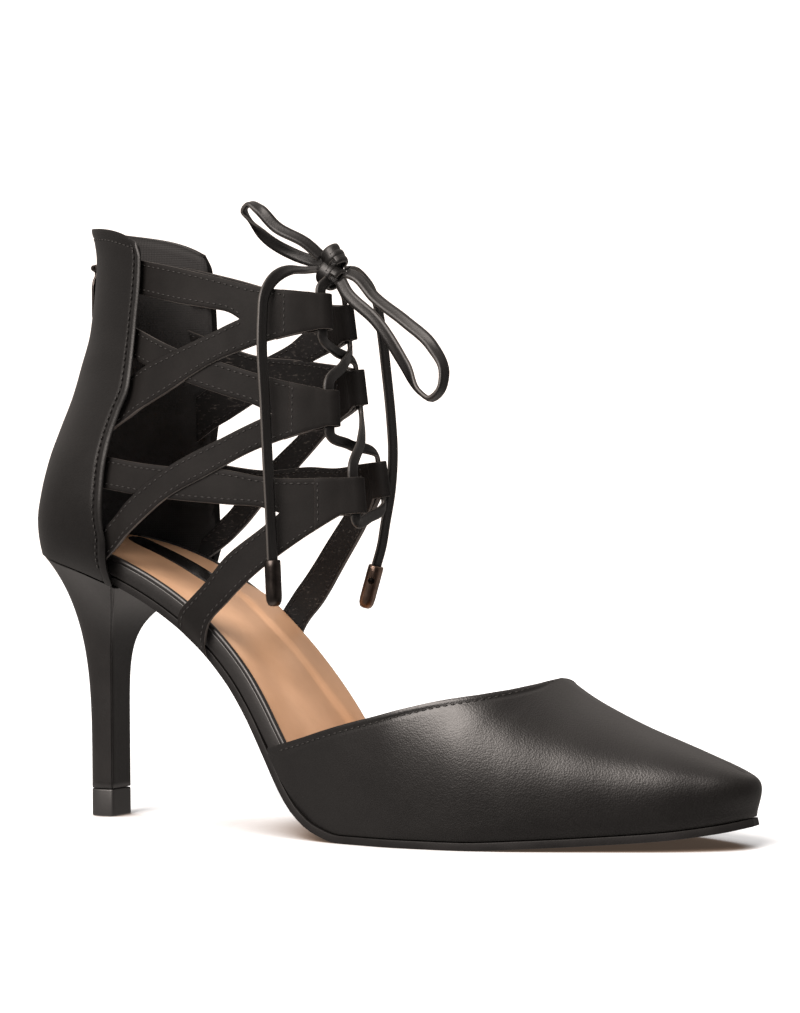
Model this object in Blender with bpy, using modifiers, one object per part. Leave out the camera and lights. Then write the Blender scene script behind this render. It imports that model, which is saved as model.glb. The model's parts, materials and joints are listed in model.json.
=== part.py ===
"""Lace-up pump: pointed closed toe, strapped ankle, zipped high back and a slim high heel.

Tables and sizes are in millimetres, measured from a datum on the floor below the back of the heel:
x runs to the toe, y to the inner side of the foot and z up. The datum is moved to the middle of the
shoe when points become vertices, in metres.
"""
import math

import bmesh
import bpy
import numpy as np
from mathutils import Matrix, Vector

MM = 0.001
ORIGIN_X = 125.7

# Layers of the bottom, from the floor side up
GAP = 0.3
SOLE_THICK = 2.2
RAND_THICK = 4.5
SOCK_THICK = 0.8
RAND_BASE = SOLE_THICK + GAP
SOCK_BASE = RAND_BASE + RAND_THICK + GAP
LAYER_BACK_X = 10.6
LAYER_LEAST_HALF = 0.8
LAYER_END_STATION = 0.012
LAYER_BACK_POWER = 2.3
LAYER_GRID = (44, 4)
RAND_FLUSH = 0.3
RAND_STEP_IN = 2.5
RAND_STEP_X = 94.0
RAND_STEP_LONG = 20.0
RAND_SHORT = 3.6
SOCK_IN = 1.0
SOCK_BACK_IN = 2.5
SOCK_SHORT = 7.0

# Walls of the upper
VAMP_WALL = 1.4
VAMP_GRID = (30, 7)
COUNTER_OUT = 4.0
COUNTER_WALL = 1.9
COUNTER_GRID = (24, 16)
STRAP_OUT = 1.8
STRAP_OVER = 2.7
STRAP_THICK = 1.5
STRAP_GRIDS = [(9, 1), (11, 1), (5, 2)]

# Heel
HEEL_SEAT_Z = 86.0
HEEL_TIP_RISE = 8.7
HEEL_STEM_X = 23.9
HEEL_STEM_LONG = 5.2
HEEL_STEM_HALF = 5.5
SEAT_BACK_X = 8.0
BREAST_X = 46.0
FLARE_BACK = 3.4
FLARE_BREAST = 8.0
SEAT_ROUND = 0.8
SEAT_OVER = 1.6
HEEL_BACK_SWEEP = 84
HEEL_BACK_STEP = 14
HEEL_BREAST_CORNER = [(1.0, 0.92), (0.45, 1.0)]
HEEL_RISES = [0, 0.2, 0.36, 0.48, 0.58, 0.67, 0.75, 0.82, 0.88, 0.93, 0.97, 1.0]

# Toe
NOSE_START_X = 215.0
SOLE_TIP_X = 243.7
NOSE_POWER = 2.6
THROAT_X = 184.5
WING_X = 100.5
VAMP_BULGE = 1.7
NOSE_BULGE = 0.7
INNER_TOPLINE_DROP = 3.0
WING_SHARE = 0.5
WING_EASE = 1.7
CONE_SHARE = 0.78
RIDGE_END_X = 239.5
FEATHER_END_X = SOLE_TIP_X - 0.1
FEATHER_OUT = 1.9
NOSE_FADE = 6.0
CROWN_SHIFT_LONG = 120.0

# Zip
ZIP_FOOT = 20.0
ZIP_SLOT_HALF = 2.6
CHAIN_HALF = 2.2
TAPE_HALF = 6.5
TAPE_OUT = 1.8
TAPE_THICK = 0.9
CHAIN_OUT = 3.9
CHAIN_TOP = 82.0
TAPE_BELOW_COLLAR = 2.0
TAPE_GRID = (4, 14)
CHAIN_GRID = (2, 14)
SLOT_BELOW_FOOT = 1.0
SLOT_CUTTER_X = 15.0
SLOT_CUTTER_LONG = 60.0
SLOT_CUTTER_HIGH = 120.0

# Slider of the zip, and the pull that hangs on the bar between its two lugs
PULL_BAR_X = 20.9
PULL_BAR_Z = 177.0
PULL_BAR_RADIUS = 0.5
SLIDER_NEAR = 2.3
SLIDER_FAR = 3.7
SLIDER_HALF = 2.2
SLIDER_LOW = -8.0
SLIDER_HIGH = 3.5
LUG_HALF = 0.45
LUG_MIDDLE = 1.75
LUG_RADIUS = 1.0
PULL_EYE = 0.85
PULL_RING = 1.3
PULL_RING_HALF = 1.0
PULL_THICK_HALF = 0.4
PULL_SHAPE = [
    # half width, height over the bar, down one edge of the plate
    (0.9, -1.05), (0.9, -2.4), (2.0, -4.0), (2.6, -6.0), (2.6, -15.6), (2.1, -17.6), (1.0, -18.5),
]

# Loops that hold the lace at the straps' ends
LOOP_HOLE = 2.0
LOOP_OUTER = 3.0
LOOP_REACH = 4.7
LOOP_MIDDLE_OUT = -1.8
LOOP_HALF_HEIGHT = 5.5
LOOP_STEM = -3.5
LOOP_STEM_OUT = 1.2
LOOP_STEM_IN = -1.7
INNER_STRAP_SHORT = 2.0
INNER_BLEND = 45.0

# Lace
LACE_RADIUS = 1.3
LACE_STRAIGHT = 1.2
CROSSING_APART = 1.6
BAR_SAG = 3.5
KNOT = (110.7, -1.0, 171.0)
KNOT_RADII = (4.2, 4.0, 5.2)
KNOT_GAP = 0.6
AGLET_RADIUS = 2.4
AGLET_TIP_RADIUS = 1.7
AGLET_LONG = 12.6
CROSSING_POINTS = 62
LOOP_POINTS = 26
END_POINTS = 20

# Side view of the sole's underside
SOLE_LINE = [
    # x, z
    (2, 86.0), (14, 83.8), (26, 80.8), (37, 77.4), (47, 73.4), (57, 68.2), (67, 61.6),
    (76.5, 53.4), (84, 45.6), (92, 35.6), (100, 23.6), (106, 14.4), (112, 7.4), (120, 2.4),
    (130, 0), (168, 0), (187, 0.8), (206, 1.9), (222, 3.1), (236, 5.0), (245, 6.9),
]

# Plan of the sole, before the heel and nose are rounded off
SOLE_PLAN = [
    # x, half width, middle line
    (3, 25.0, 0.0), (20, 25.4, 0.0), (46, 25.4, 0.0), (57, 24.9, 0.0), (67, 24.2, 0.0),
    (76, 23.6, 0.0), (84, 24.0, 0.0), (92, 25.2, -0.4), (100, 27.0, -0.9), (110, 29.6, -1.2),
    (120, 32.0, -1.2), (135, 35.0, -0.7), (150, 36.8, -0.2), (165, 36.4, 0.5),
    (180, 33.6, 1.2), (195, 28.8, 1.9), (210, 22.9, 2.3), (222, 18.0, 2.4), (232, 14.4, 2.5),
    (245, 11.6, 2.6),
]

# The oval that the counter and the straps are wrapped on, by height over the sole line
ANKLE = [
    # height, back x, widest x, front x, half width, roundness of the back
    (0, 12.0, 46, 132, 24.0, 3.0), (6, 11.4, 46, 132, 27.2, 2.8), (12, 11.3, 47, 132, 28.8, 2.7),
    (19, 11.8, 48, 132, 29.2, 2.5), (30, 13.3, 52, 130.5, 27.8, 2.3),
    (39, 15.7, 56.5, 126.5, 25.8, 2.15), (49, 19.3, 62, 119.5, 23.7, 2.05),
    (57, 21.5, 66, 116.5, 22.3, 2.0), (70, 25.4, 69, 114, 20.5, 2.0),
    (92, 27.4, 69, 112.5, 17.6, 2.0), (104, 25.2, 68, 112, 16.8, 2.0),
]
LEVEL_HEIGHT = 60.0

# Front edge of the counter, and its top edge from the back seam to the front corner
COUNTER_EDGE = [
    # height, x
    (0, 60.5), (2.5, 58.0), (5, 53.0), (11.5, 47.6), (20, 46.0), (28, 46.0), (36, 46.8),
    (44, 49.4), (51, 52.2), (70, 52.4), (80, 52.7), (90, 52.4), (96, 50.0),
]
COLLAR_BACK = 103.5
COLLAR_SLOPE = 3.0
COLLAR_CORNER = 5.0
COLLAR_CORNER_POWER = 5

# Ridge of the vamp and its top edge, in side view
VAMP_RIDGE = [
    # x, z
    (96, 80), (130, 75), (150, 68.5), (165, 61.5), (176, 53.8), (184.5, 46.8), (191.7, 42.0),
    (201, 37.2), (210, 33.2), (219.4, 29.6), (228.4, 26.0), (237.3, 22.2), (241.7, 19.6),
]
VAMP_TOPLINE = [
    # x, z
    (96, 24.6), (100, 25.7), (109, 28.0), (130, 34.0), (142, 37.0), (152, 39.6), (163, 42.0),
    (172, 43.4), (180, 45.0), (183.4, 46.2), (184.5, 46.8),
]
VAMP_ARCH = [
    # x, squareness of the section at its ridge and at its walls
    (96, 2.6, 2.6), (150, 2.2, 2.6), (186, 1.6, 2.9), (205, 1.65, 3.0), (225, 1.8, 3.0), (244, 1.9, 2.8),
]

# Forked straps of the outer side, as edges in side view
STRAP_FORKS = {
    "upper": {
        "top": [(44, 177.5), (52.6, 175.5), (66.4, 172.2), (77.3, 169.3), (93.6, 164.9), (107, 163.1)],
        "fork_top": [(45, 166.4), (54, 164.4), (67.4, 161.1), (78.2, 159.0), (84.8, 157.4), (88.5, 155.2)],
        "fork_low": [(44, 135.6), (53.1, 140.6), (69.2, 147.1), (81.3, 151.8), (88.5, 155.2)],
        "low": [(42, 121), (49.3, 125.3), (65.9, 133.8), (79.3, 141.2), (92.8, 146.7), (108, 150.9)],
        "over": [(0, STRAP_OUT), (0.18, STRAP_OUT), (0.3, STRAP_OVER), (0.87, STRAP_OVER), (1, STRAP_OUT)],
        "inner_rise": -1.8,
    },
    "middle": {
        "top": [(44, 157.2), (52.2, 153.7), (67.8, 146.9), (83.1, 142.2), (97.8, 137.3), (110.4, 133.9)],
        "fork_top": [(46, 147.5), (53.5, 143.6), (71.4, 136.6), (84.8, 131.9), (95, 128.4), (99.5, 126)],
        "fork_low": [(41, 88.6), (48.2, 94.9), (54.5, 100.9), (67.7, 110.6), (86.4, 119.6), (99.5, 126)],
        "low": [(39, 78.6), (46.7, 84), (56.9, 92.4), (68.2, 101.3), (80.8, 107.6), (96.7, 115.7),
                (111.4, 121.0)],
        "over": [(0, STRAP_OUT), (0.15, STRAP_OUT), (0.25, STRAP_OVER), (0.82, STRAP_OVER), (1, STRAP_OUT)],
        "inner_rise": 7.5,
    },
    "lower": {
        "top": [(39, 115.5), (45.2, 114.3), (57.2, 112.1), (66.9, 110.8), (86.2, 109.3), (98.6, 106.8),
                (118.4, 106.3)],
        "fork_top": [(39, 105.6), (45.1, 104.4), (54.3, 102.7), (68.2, 100.7), (86.7, 98.8), (98.3, 97.6),
                     (103, 96)],
        "fork_low": [(69.6, 61.4), (70.6, 66.6), (74.4, 70.0), (80.3, 75.4), (87.1, 83.1), (98.6, 92.2),
                     (103, 96)],
        "low": [(79.4, 52.8), (78.6, 57.0), (80.6, 62.4), (87.8, 69.6), (97.6, 78.9), (106, 85.4),
                (119.6, 95.2)],
        "over": [(0, 3.4), (0.14, 1.2), (0.3, 1.2), (0.6, STRAP_OUT), (1, STRAP_OUT)],
        "inner_rise": 5.5,
        "inner": {
            "fork_top": [(39, 105.6), (54.3, 102.7), (68.2, 100.7), (86.7, 98.8), (98.3, 97.2), (106, 94.5)],
            "fork_low": [(73.4, 57.3), (74.2, 63.6), (77.5, 68.2), (83.8, 74.6), (93.2, 83.6), (106, 94.5)],
            "low": [(82.6, 47.2), (81.6, 52), (83, 57.4), (90.5, 65), (101, 76), (111, 86), (119.6, 95.2)],
        },
    },
}

# Free lengths of the lace from the knot outward; the loops come back to it
LACE_LOOPS = {
    "left": [
        (103.0, -4.5, 178.8), (94.1, -7.5, 184.2), (88.3, -8.5, 190.2), (85.0, -8.0, 192.0),
        (82.2, -7.0, 190.4), (83.0, -5.0, 187.4), (87.5, -2.5, 181.7), (96.1, 0.5, 176.2),
        (103.6, 1.2, 173.4),
    ],
    "right": [
        (117.0, -4.4, 163.0), (128.2, -6.0, 153.4), (138.9, -8.0, 139.5), (144.5, -9.0, 131.0),
        (147.9, -9.0, 129.0), (151.0, -9.0, 131.0), (152.0, -8.0, 136.5), (147.0, -6.0, 144.9),
        (136.9, -4.0, 153.0), (125.5, -2.0, 161.0), (118.4, -1.4, 168.0),
    ],
}
LACE_ENDS = {
    "left": [
        (103.7, -6.0, 170.4), (100.6, -10.5, 170.2), (98.6, -16.0, 167.4), (97.8, -20.5, 162.0),
        (98.2, -22.6, 154.8), (98.8, -24.0, 147.6), (100.5, -25.4, 129.6), (101.8, -26.2, 111.6),
        (102.8, -26.4, 93.8), (103.3, -26.4, 81.0),
    ],
    "right": [
        (114.6, 5.4, 171.2), (117.4, 8.2, 167.6), (118.8, 11.2, 160.6), (119.0, 14.0, 151.0),
        (119.2, 16.0, 140.4), (119.9, 17.6, 124.8), (119.9, 18.5, 115.5), (119.0, 18.5, 103.1),
        (117.1, 18.0, 92.2), (116.0, 17.8, 86.0), (113.9, 17.4, 78.8),
    ],
}


def curve_through(rows, column):
    """A smooth function of the first column through the rows, which never overshoots them."""
    xs = np.array([row[0] for row in rows], float)
    ys = np.array([row[column] for row in rows], float)
    step = np.diff(xs)
    rise = np.diff(ys) / step
    slope = np.zeros_like(ys)
    slope[0], slope[-1] = rise[0], rise[-1]
    for i in range(1, len(xs) - 1):
        if rise[i - 1] * rise[i] > 0:
            a = 2 * step[i] + step[i - 1]
            b = step[i] + 2 * step[i - 1]
            slope[i] = (a + b) / (a / rise[i - 1] + b / rise[i])

    def value(x):
        i = int(np.clip(np.searchsorted(xs, x) - 1, 0, len(step) - 1))
        t = min(1.0, max(0.0, (x - xs[i]) / step[i]))
        ends = (1 + 2 * t) * (1 - t) ** 2 * ys[i] + t * t * (3 - 2 * t) * ys[i + 1]
        return ends + step[i] * (t * (1 - t) ** 2 * slope[i] + t * t * (t - 1) * slope[i + 1])

    return value


def path_through(points):
    """A smooth path through points of any size, as a function of the share of its length, 0 to 1."""
    pts = np.array(points, float)
    chord = np.linalg.norm(np.diff(pts, axis=0), axis=1)
    at = np.concatenate([[0], np.cumsum(chord)])
    slope = np.gradient(pts, at, axis=0)

    def place(share):
        s = share * at[-1]
        i = int(np.clip(np.searchsorted(at, s) - 1, 0, len(chord) - 1))
        t = (s - at[i]) / chord[i]
        ends = (1 + 2 * t) * (1 - t) ** 2 * pts[i] + t * t * (3 - 2 * t) * pts[i + 1]
        return ends + chord[i] * (t * (1 - t) ** 2 * slope[i] + t * t * (t - 1) * slope[i + 1])

    return place


def smooth_step(t):
    t = min(1.0, max(0.0, t))
    return t * t * (3 - 2 * t)


def to_part(point):
    """A table point in millimetres as a vertex position in metres."""
    x, y, z = point
    return Vector(((x - ORIGIN_X) * MM, y * MM, z * MM))


sole_z = curve_through(SOLE_LINE, 1)
plan_half = curve_through(SOLE_PLAN, 1)
plan_middle = curve_through(SOLE_PLAN, 2)
ankle_back = curve_through(ANKLE, 1)
ankle_widest = curve_through(ANKLE, 2)
ankle_front = curve_through(ANKLE, 3)
ankle_half = curve_through(ANKLE, 4)
ankle_round = curve_through(ANKLE, 5)
counter_edge = curve_through(COUNTER_EDGE, 1)
ridge_z = curve_through(VAMP_RIDGE, 1)
topline_z = curve_through(VAMP_TOPLINE, 1)
ridge_power = curve_through(VAMP_ARCH, 1)
wall_power = curve_through(VAMP_ARCH, 2)


def sole_normal(x):
    """Unit vector square to the sole line in side view, pointing up."""
    slope = sole_z(x + 0.5) - sole_z(x - 0.5)
    length = math.hypot(1, slope)
    return -slope / length, 1 / length


def sole_half(x, back, tip):
    """Half width of a bottom layer that starts at back and ends at tip, both rounded off."""
    half = plan_half(x)
    round_from = back + half
    if x < round_from:
        half *= math.sqrt(max(0.0, 1 - ((round_from - x) / (round_from - back)) ** LAYER_BACK_POWER))
    if x > NOSE_START_X:
        share = (x - NOSE_START_X) / (tip - NOSE_START_X)
        half *= math.sqrt(max(0.0, 1 - share ** NOSE_POWER))
    return half


def layer_stations(back, tip, share):
    """x along a bottom layer, with the stations closer together at its round ends."""
    turn = LAYER_END_STATION + (1 - 2 * LAYER_END_STATION) * share
    return back + (tip - back) * 0.5 * (1 - math.cos(math.pi * turn))


def rand_inset(x):
    """How far the covered board stays inside the outsole's edge, least at the waist."""
    return RAND_FLUSH + RAND_STEP_IN * smooth_step((x - RAND_STEP_X) / RAND_STEP_LONG)


def sock_inset(x):
    return rand_inset(x) + SOCK_IN


def level_z(x, height):
    """z of a point of the ankle oval: low levels follow the sole line, high ones are flat."""
    flat = smooth_step(height / LEVEL_HEIGHT)
    return sole_z(x) * (1 - flat) + HEEL_SEAT_Z * flat + height


def height_at(x, z):
    """Height over the sole line of the level that passes through x, z."""
    low, high = -10.0, 130.0
    for _ in range(40):
        middle = 0.5 * (low + high)
        if level_z(x, middle) < z:
            low = middle
        else:
            high = middle
    return 0.5 * (low + high)


def oval_y(x, height, out):
    """Half width at x of the ankle oval grown by out."""
    widest = ankle_widest(height)
    half = ankle_half(height) + out
    if x < widest:
        reach, power = widest - ankle_back(height) + out, ankle_round(height)
    else:
        reach, power = ankle_front(height) + out - widest, 2.0
    share = min(1.0, abs(x - widest) / reach)
    return half * (1 - share ** power) ** (1 / power)


def oval_point(turn, height, out):
    """Point of the oval grown by out: turn is 0 at the back, 1 at the widest place, negative outside."""
    widest = ankle_widest(height)
    half = ankle_half(height) + out
    power = ankle_round(height)
    angle = abs(turn) * math.pi / 2
    x = widest - (widest - ankle_back(height) + out) * math.cos(angle) ** (2 / power)
    y = math.copysign(half * math.sin(angle) ** (2 / power), turn)
    return x, y, level_z(x, height)


def turn_at(x, height, out):
    """The turn at which the back of the oval reaches x."""
    widest = ankle_widest(height)
    share = (widest - x) / (widest - ankle_back(height) + out)
    return math.acos(min(1.0, max(0.0, share)) ** (ankle_round(height) / 2)) / (math.pi / 2)


def material(name, colour, roughness, metallic=0.0):
    finish = bpy.data.materials.new(name)
    finish.use_nodes = True
    shader = finish.node_tree.nodes["Principled BSDF"]
    shader.inputs["Base Color"].default_value = (*colour, 1)
    shader.inputs["Roughness"].default_value = roughness
    shader.inputs["Metallic"].default_value = metallic
    return finish


def add_object(name, data, finish, collection):
    obj = bpy.data.objects.new(name, data)
    collection.objects.link(obj)
    if finish:
        data.materials.append(finish)
    return obj


def mesh_object(name, bm, finish, collection, smooth=True):
    mesh = bpy.data.meshes.new(name)
    bm.to_mesh(mesh)
    bm.free()
    if smooth:
        mesh.shade_smooth()
        mesh.set_sharp_from_angle(angle=math.radians(40))
    return add_object(name, mesh, finish, collection)


def mapped_grid(bm, columns, rows, place, flip=False):
    """Add a grid of columns by rows cells, with each vertex moved to place(u, v), u and v from 0 to 1."""
    made = bmesh.ops.create_grid(bm, x_segments=columns, y_segments=rows, size=0.5)
    for vert in made["verts"]:
        vert.co = to_part(place(vert.co.x + 0.5, vert.co.y + 0.5))
    if flip:
        faces = {face for vert in made["verts"] for face in vert.link_faces}
        bmesh.ops.reverse_faces(bm, faces=list(faces))


def thicken(obj, thickness, inward=True):
    wall = obj.modifiers.new("wall", "SOLIDIFY")
    wall.thickness = thickness * MM
    wall.offset = -1 if inward else 1
    wall.use_even_offset = True


def boolean(obj, other, operation):
    step = obj.modifiers.new(operation.lower() + "_" + other.name, "BOOLEAN")
    step.operation = operation
    step.object = other
    step.solver = "EXACT"


def hide_helper(obj):
    obj.hide_render = True
    obj.display_type = "WIRE"
    return obj


def loft(name, rings, finish, collection):
    """A solid through rings of points that mirror left to right, so each end closes in strips across."""
    bm = bmesh.new()
    loops = [[bm.verts.new(to_part(point)) for point in ring] for ring in rings]
    count = len(loops[0])
    for lower, upper in zip(loops, loops[1:]):
        for i in range(count):
            j = (i + 1) % count
            bm.faces.new((lower[i], lower[j], upper[j], upper[i]))
    for ring in (loops[0], loops[-1]):
        for i in range(count // 2):
            quad = [ring[i], ring[i + 1], ring[-2 - i], ring[-1 - i]]
            corners = list(dict.fromkeys(quad))
            if len(corners) > 2:
                bm.faces.new(corners)
    bmesh.ops.recalc_face_normals(bm, faces=bm.faces)
    return mesh_object(name, bm, finish, collection)


def tube(name, points, radius, sides_level, finish, collection):
    """A round cord along points in millimetres, as a curve with filled caps."""
    curve = bpy.data.curves.new(name, "CURVE")
    curve.dimensions = "3D"
    curve.bevel_depth = radius * MM
    curve.bevel_resolution = sides_level
    curve.use_fill_caps = True
    spline = curve.splines.new("POLY")
    spline.points.add(len(points) - 1)
    for knot, point in zip(spline.points, points):
        knot.co = (*to_part(point), 1)
    return add_object(name, curve, finish, collection)


def as_mesh(obj):
    """Turn a curve into a welded mesh of the same name and place."""
    name, finish, collection = obj.name, obj.data.materials[0], obj.users_collection[0]
    bpy.context.view_layer.update()
    depsgraph = bpy.context.evaluated_depsgraph_get()
    mesh = bpy.data.meshes.new_from_object(obj.evaluated_get(depsgraph))
    bm = bmesh.new()
    bm.from_mesh(mesh)
    bmesh.ops.remove_doubles(bm, verts=bm.verts, dist=1e-6)
    bmesh.ops.recalc_face_normals(bm, faces=bm.faces)
    bm.to_mesh(mesh)
    bm.free()
    place = obj.matrix_world.copy()
    bpy.data.objects.remove(obj)
    made = bpy.data.objects.new(name, mesh)
    made.matrix_world = place
    collection.objects.link(made)
    mesh.materials.clear()
    mesh.materials.append(finish)
    return made


def arc(middle, radius, first, last, steps):
    """Points of a circle about middle from one angle to another, in degrees."""
    turns = [math.radians(first + (last - first) * k / steps) for k in range(steps + 1)]
    return [(middle[0] + radius * math.cos(a), middle[1] + radius * math.sin(a)) for a in turns]


def extruded(name, outlines, half_depth, place, finish, collection):
    """A flat outline in millimetres, with any holes after it, given its depth and set at place."""
    curve = bpy.data.curves.new(name, "CURVE")
    curve.dimensions = "2D"
    curve.fill_mode = "BOTH"
    curve.extrude = half_depth * MM
    for outline in outlines:
        spline = curve.splines.new("POLY")
        spline.points.add(len(outline) - 1)
        for knot, (x, y) in zip(spline.points, outline):
            knot.co = (x * MM, y * MM, 0, 1)
        spline.use_cyclic_u = True
    piece = add_object(name, curve, finish, collection)
    piece.matrix_world = place
    return as_mesh(piece)


# Bottom of the shoe

def bottom_layer(name, base, thick, back, tip, inset, finish, collection):
    """A sheet of the bottom, wrapped on the sole line at base and thick above it."""
    def place(u, v):
        x = layer_stations(back, tip, u)
        half = max(LAYER_LEAST_HALF, sole_half(x, back - inset(x), tip + inset(x)) - inset(x))
        nx, nz = sole_normal(x)
        return x + base * nx, plan_middle(x) + (2 * v - 1) * half, sole_z(x) + base * nz

    bm = bmesh.new()
    mapped_grid(bm, *LAYER_GRID, place)
    sheet = mesh_object(name, bm, finish, collection)
    thicken(sheet, thick, inward=False)
    return sheet


def heel_ring():
    """Unit outline of the heel, round at the back and flat at the breast, mirrored left to right."""
    sweep = [math.radians(a) for a in range(-HEEL_BACK_SWEEP, HEEL_BACK_SWEEP + 1, HEEL_BACK_STEP)]
    back = [(-math.cos(a), math.sin(a)) for a in sweep]
    return [(along, -across) for along, across in HEEL_BREAST_CORNER] + back + HEEL_BREAST_CORNER[::-1]


def heel_section(rise):
    """The heel's outline at a share of its rise from the tip to the seat."""
    ring = []
    middle_x = 0.5 * (BREAST_X + SEAT_BACK_X)
    reach = 0.5 * (BREAST_X - SEAT_BACK_X)
    for along, across in heel_ring():
        stem_x = HEEL_STEM_X + HEEL_STEM_LONG * along
        seat_x = middle_x + reach * along
        seat_half = sole_half(seat_x, SEAT_BACK_X - SEAT_ROUND, SOLE_TIP_X) + SEAT_OVER
        seat_y = 0.0 if abs(across) < 1e-6 else math.copysign(seat_half, across)
        flare = rise ** (FLARE_BACK + (FLARE_BREAST - FLARE_BACK) * 0.5 * (1 + along))
        x = stem_x + (seat_x - stem_x) * flare
        y = HEEL_STEM_HALF * across + (seat_y - HEEL_STEM_HALF * across) * flare
        seat_z = sole_z(seat_x) - GAP
        z = HEEL_TIP_RISE + GAP + (seat_z - HEEL_TIP_RISE - GAP) * rise
        ring.append((x, y, z))
    return ring


def build_heel(finish, tip_finish, collection):
    loft("heel", [heel_section(rise) for rise in HEEL_RISES], finish, collection)
    rings = []
    for z in (0.0, HEEL_TIP_RISE):
        rings.append([(HEEL_STEM_X + HEEL_STEM_LONG * a, HEEL_STEM_HALF * b, z) for a, b in heel_ring()])
    loft("heel_tip", rings, tip_finish, collection)


# Vamp

def vamp_station(share):
    """x of the feather edge and of the ridge at a share of the way from the wing's end to the nose."""
    if share < WING_SHARE:
        x = THROAT_X - (THROAT_X - WING_X) * (1 - share / WING_SHARE) ** WING_EASE
        return x, x
    if share < CONE_SHARE:
        x = THROAT_X + (NOSE_START_X - THROAT_X) * (share - WING_SHARE) / (CONE_SHARE - WING_SHARE)
        return x, x
    turn = (share - CONE_SHARE) / (1 - CONE_SHARE) * math.pi / 2
    feather = NOSE_START_X + (FEATHER_END_X - NOSE_START_X) * math.sin(turn)
    return feather, NOSE_START_X + (RIDGE_END_X - NOSE_START_X) * math.sin(turn)


def vamp_point(share, up, side):
    """Point of the vamp's outside: up runs from the feather edge to the top edge, side is -1 or 1."""
    foot_x, top_x = vamp_station(share)
    half = sole_half(foot_x, 0, FEATHER_END_X)
    half -= (rand_inset(foot_x) - FEATHER_OUT) * smooth_step(half / NOSE_FADE)
    nx, nz = sole_normal(foot_x)
    base_x = foot_x + RAND_BASE * nx
    base_z = sole_z(foot_x) + RAND_BASE * nz
    foot_y = plan_middle(foot_x) + side * half
    crown_y = plan_middle(top_x) * smooth_step((top_x - WING_X) / CROWN_SHIFT_LONG)
    crown_z = ridge_z(top_x)
    wall = wall_power(foot_x)
    limit = math.pi / 2
    if foot_x < THROAT_X:
        drop = INNER_TOPLINE_DROP * math.sin(2 * math.pi * share) if side > 0 else 0.0
        climb = (topline_z(base_x) - drop - base_z) / (crown_z - base_z)
        limit = math.asin(min(1.0, climb) ** (wall / 2))
    angle = up * limit
    spread = math.cos(angle) ** (2 / ridge_power(foot_x)) if angle < math.pi / 2 - 1e-6 else 0.0
    climb = math.sin(angle) ** (2 / wall)
    out_x, out_y = base_x - top_x, foot_y - crown_y
    length = math.hypot(out_x, out_y)
    full = VAMP_BULGE + NOSE_BULGE * smooth_step((foot_x - NOSE_START_X) / (FEATHER_END_X - NOSE_START_X))
    bulge = full * math.sin(2 * angle) if angle < math.pi / 2 - 1e-6 else 0.0
    x = top_x + out_x * spread + bulge * out_x / length
    y = crown_y + out_y * spread + bulge * out_y / length
    return x, y, base_z + (crown_z - base_z) * climb


def build_vamp(finish, collection):
    bm = bmesh.new()
    for side in (-1, 1):
        mapped_grid(bm, *VAMP_GRID, lambda u, v: vamp_point(u, v, side), flip=side > 0)
    bmesh.ops.remove_doubles(bm, verts=bm.verts, dist=1e-5)
    vamp = mesh_object("vamp", bm, finish, collection)
    thicken(vamp, VAMP_WALL)
    return vamp


# Counter and zip

def counter_point(u, v, out):
    """Point of the counter: u runs from the outer front edge round the back to the inner one, v up."""
    turn = 2 * u - 1
    top = COLLAR_BACK - COLLAR_SLOPE * abs(turn) - COLLAR_CORNER * abs(turn) ** COLLAR_CORNER_POWER
    height = GAP + v * (top - GAP)
    return oval_point(turn * turn_at(counter_edge(height), height, out), height, out)


def back_strip_point(u, v, half, out, top):
    """Point of a strip down the back seam: u across, v up from the foot of the zip."""
    height = ZIP_FOOT + v * (top - ZIP_FOOT)
    y = (2 * u - 1) * half
    full = ankle_half(height) + out
    turn = math.asin((abs(y) / full) ** (ankle_round(height) / 2)) / (math.pi / 2)
    return oval_point(math.copysign(turn, y), height, out)


def build_counter(finish, collection, helpers):
    bm = bmesh.new()
    mapped_grid(bm, *COUNTER_GRID, lambda u, v: counter_point(u, v, COUNTER_OUT), flip=True)
    counter = mesh_object("counter", bm, finish, collection)
    thicken(counter, COUNTER_WALL)
    bm = bmesh.new()
    bmesh.ops.create_cube(bm, size=1)
    foot_z = level_z(ankle_back(ZIP_FOOT), ZIP_FOOT) - SLOT_BELOW_FOOT
    centre = to_part((SLOT_CUTTER_X, 0, foot_z + SLOT_CUTTER_HIGH / 2))
    size = Vector((SLOT_CUTTER_LONG, 2 * ZIP_SLOT_HALF, SLOT_CUTTER_HIGH)) * MM
    bmesh.ops.scale(bm, vec=size, verts=bm.verts)
    bmesh.ops.translate(bm, vec=centre, verts=bm.verts)
    slot = hide_helper(mesh_object("zip_slot_cutter", bm, None, helpers, smooth=False))
    boolean(counter, slot, "DIFFERENCE")
    return counter


def tape_point(u, v):
    return back_strip_point(u, v, TAPE_HALF, TAPE_OUT, COLLAR_BACK - TAPE_BELOW_COLLAR)


def chain_point(u, v):
    return back_strip_point(u, v, CHAIN_HALF, CHAIN_OUT, CHAIN_TOP)


def build_zip(tape_finish, metal, collection, helpers):
    """Tape behind the slot with the closed chain standing in it, as one piece."""
    bm = bmesh.new()
    mapped_grid(bm, *TAPE_GRID, tape_point, flip=True)
    tape = mesh_object("zip_tape", bm, tape_finish, collection)
    thicken(tape, TAPE_THICK)
    bm = bmesh.new()
    mapped_grid(bm, *CHAIN_GRID, chain_point, flip=True)
    chain = hide_helper(mesh_object("zip_chain", bm, metal, helpers))
    thicken(chain, CHAIN_OUT - TAPE_OUT + GAP)
    boolean(tape, chain, "UNION")


def back_place(y):
    """Place for an outline drawn in side view from the pull's bar, at a distance y off the middle."""
    side_view = Matrix(((1, 0, 0), (0, 0, -1), (0, 1, 0))).to_4x4()
    return Matrix.Translation(to_part((PULL_BAR_X, y, PULL_BAR_Z))) @ side_view


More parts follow.
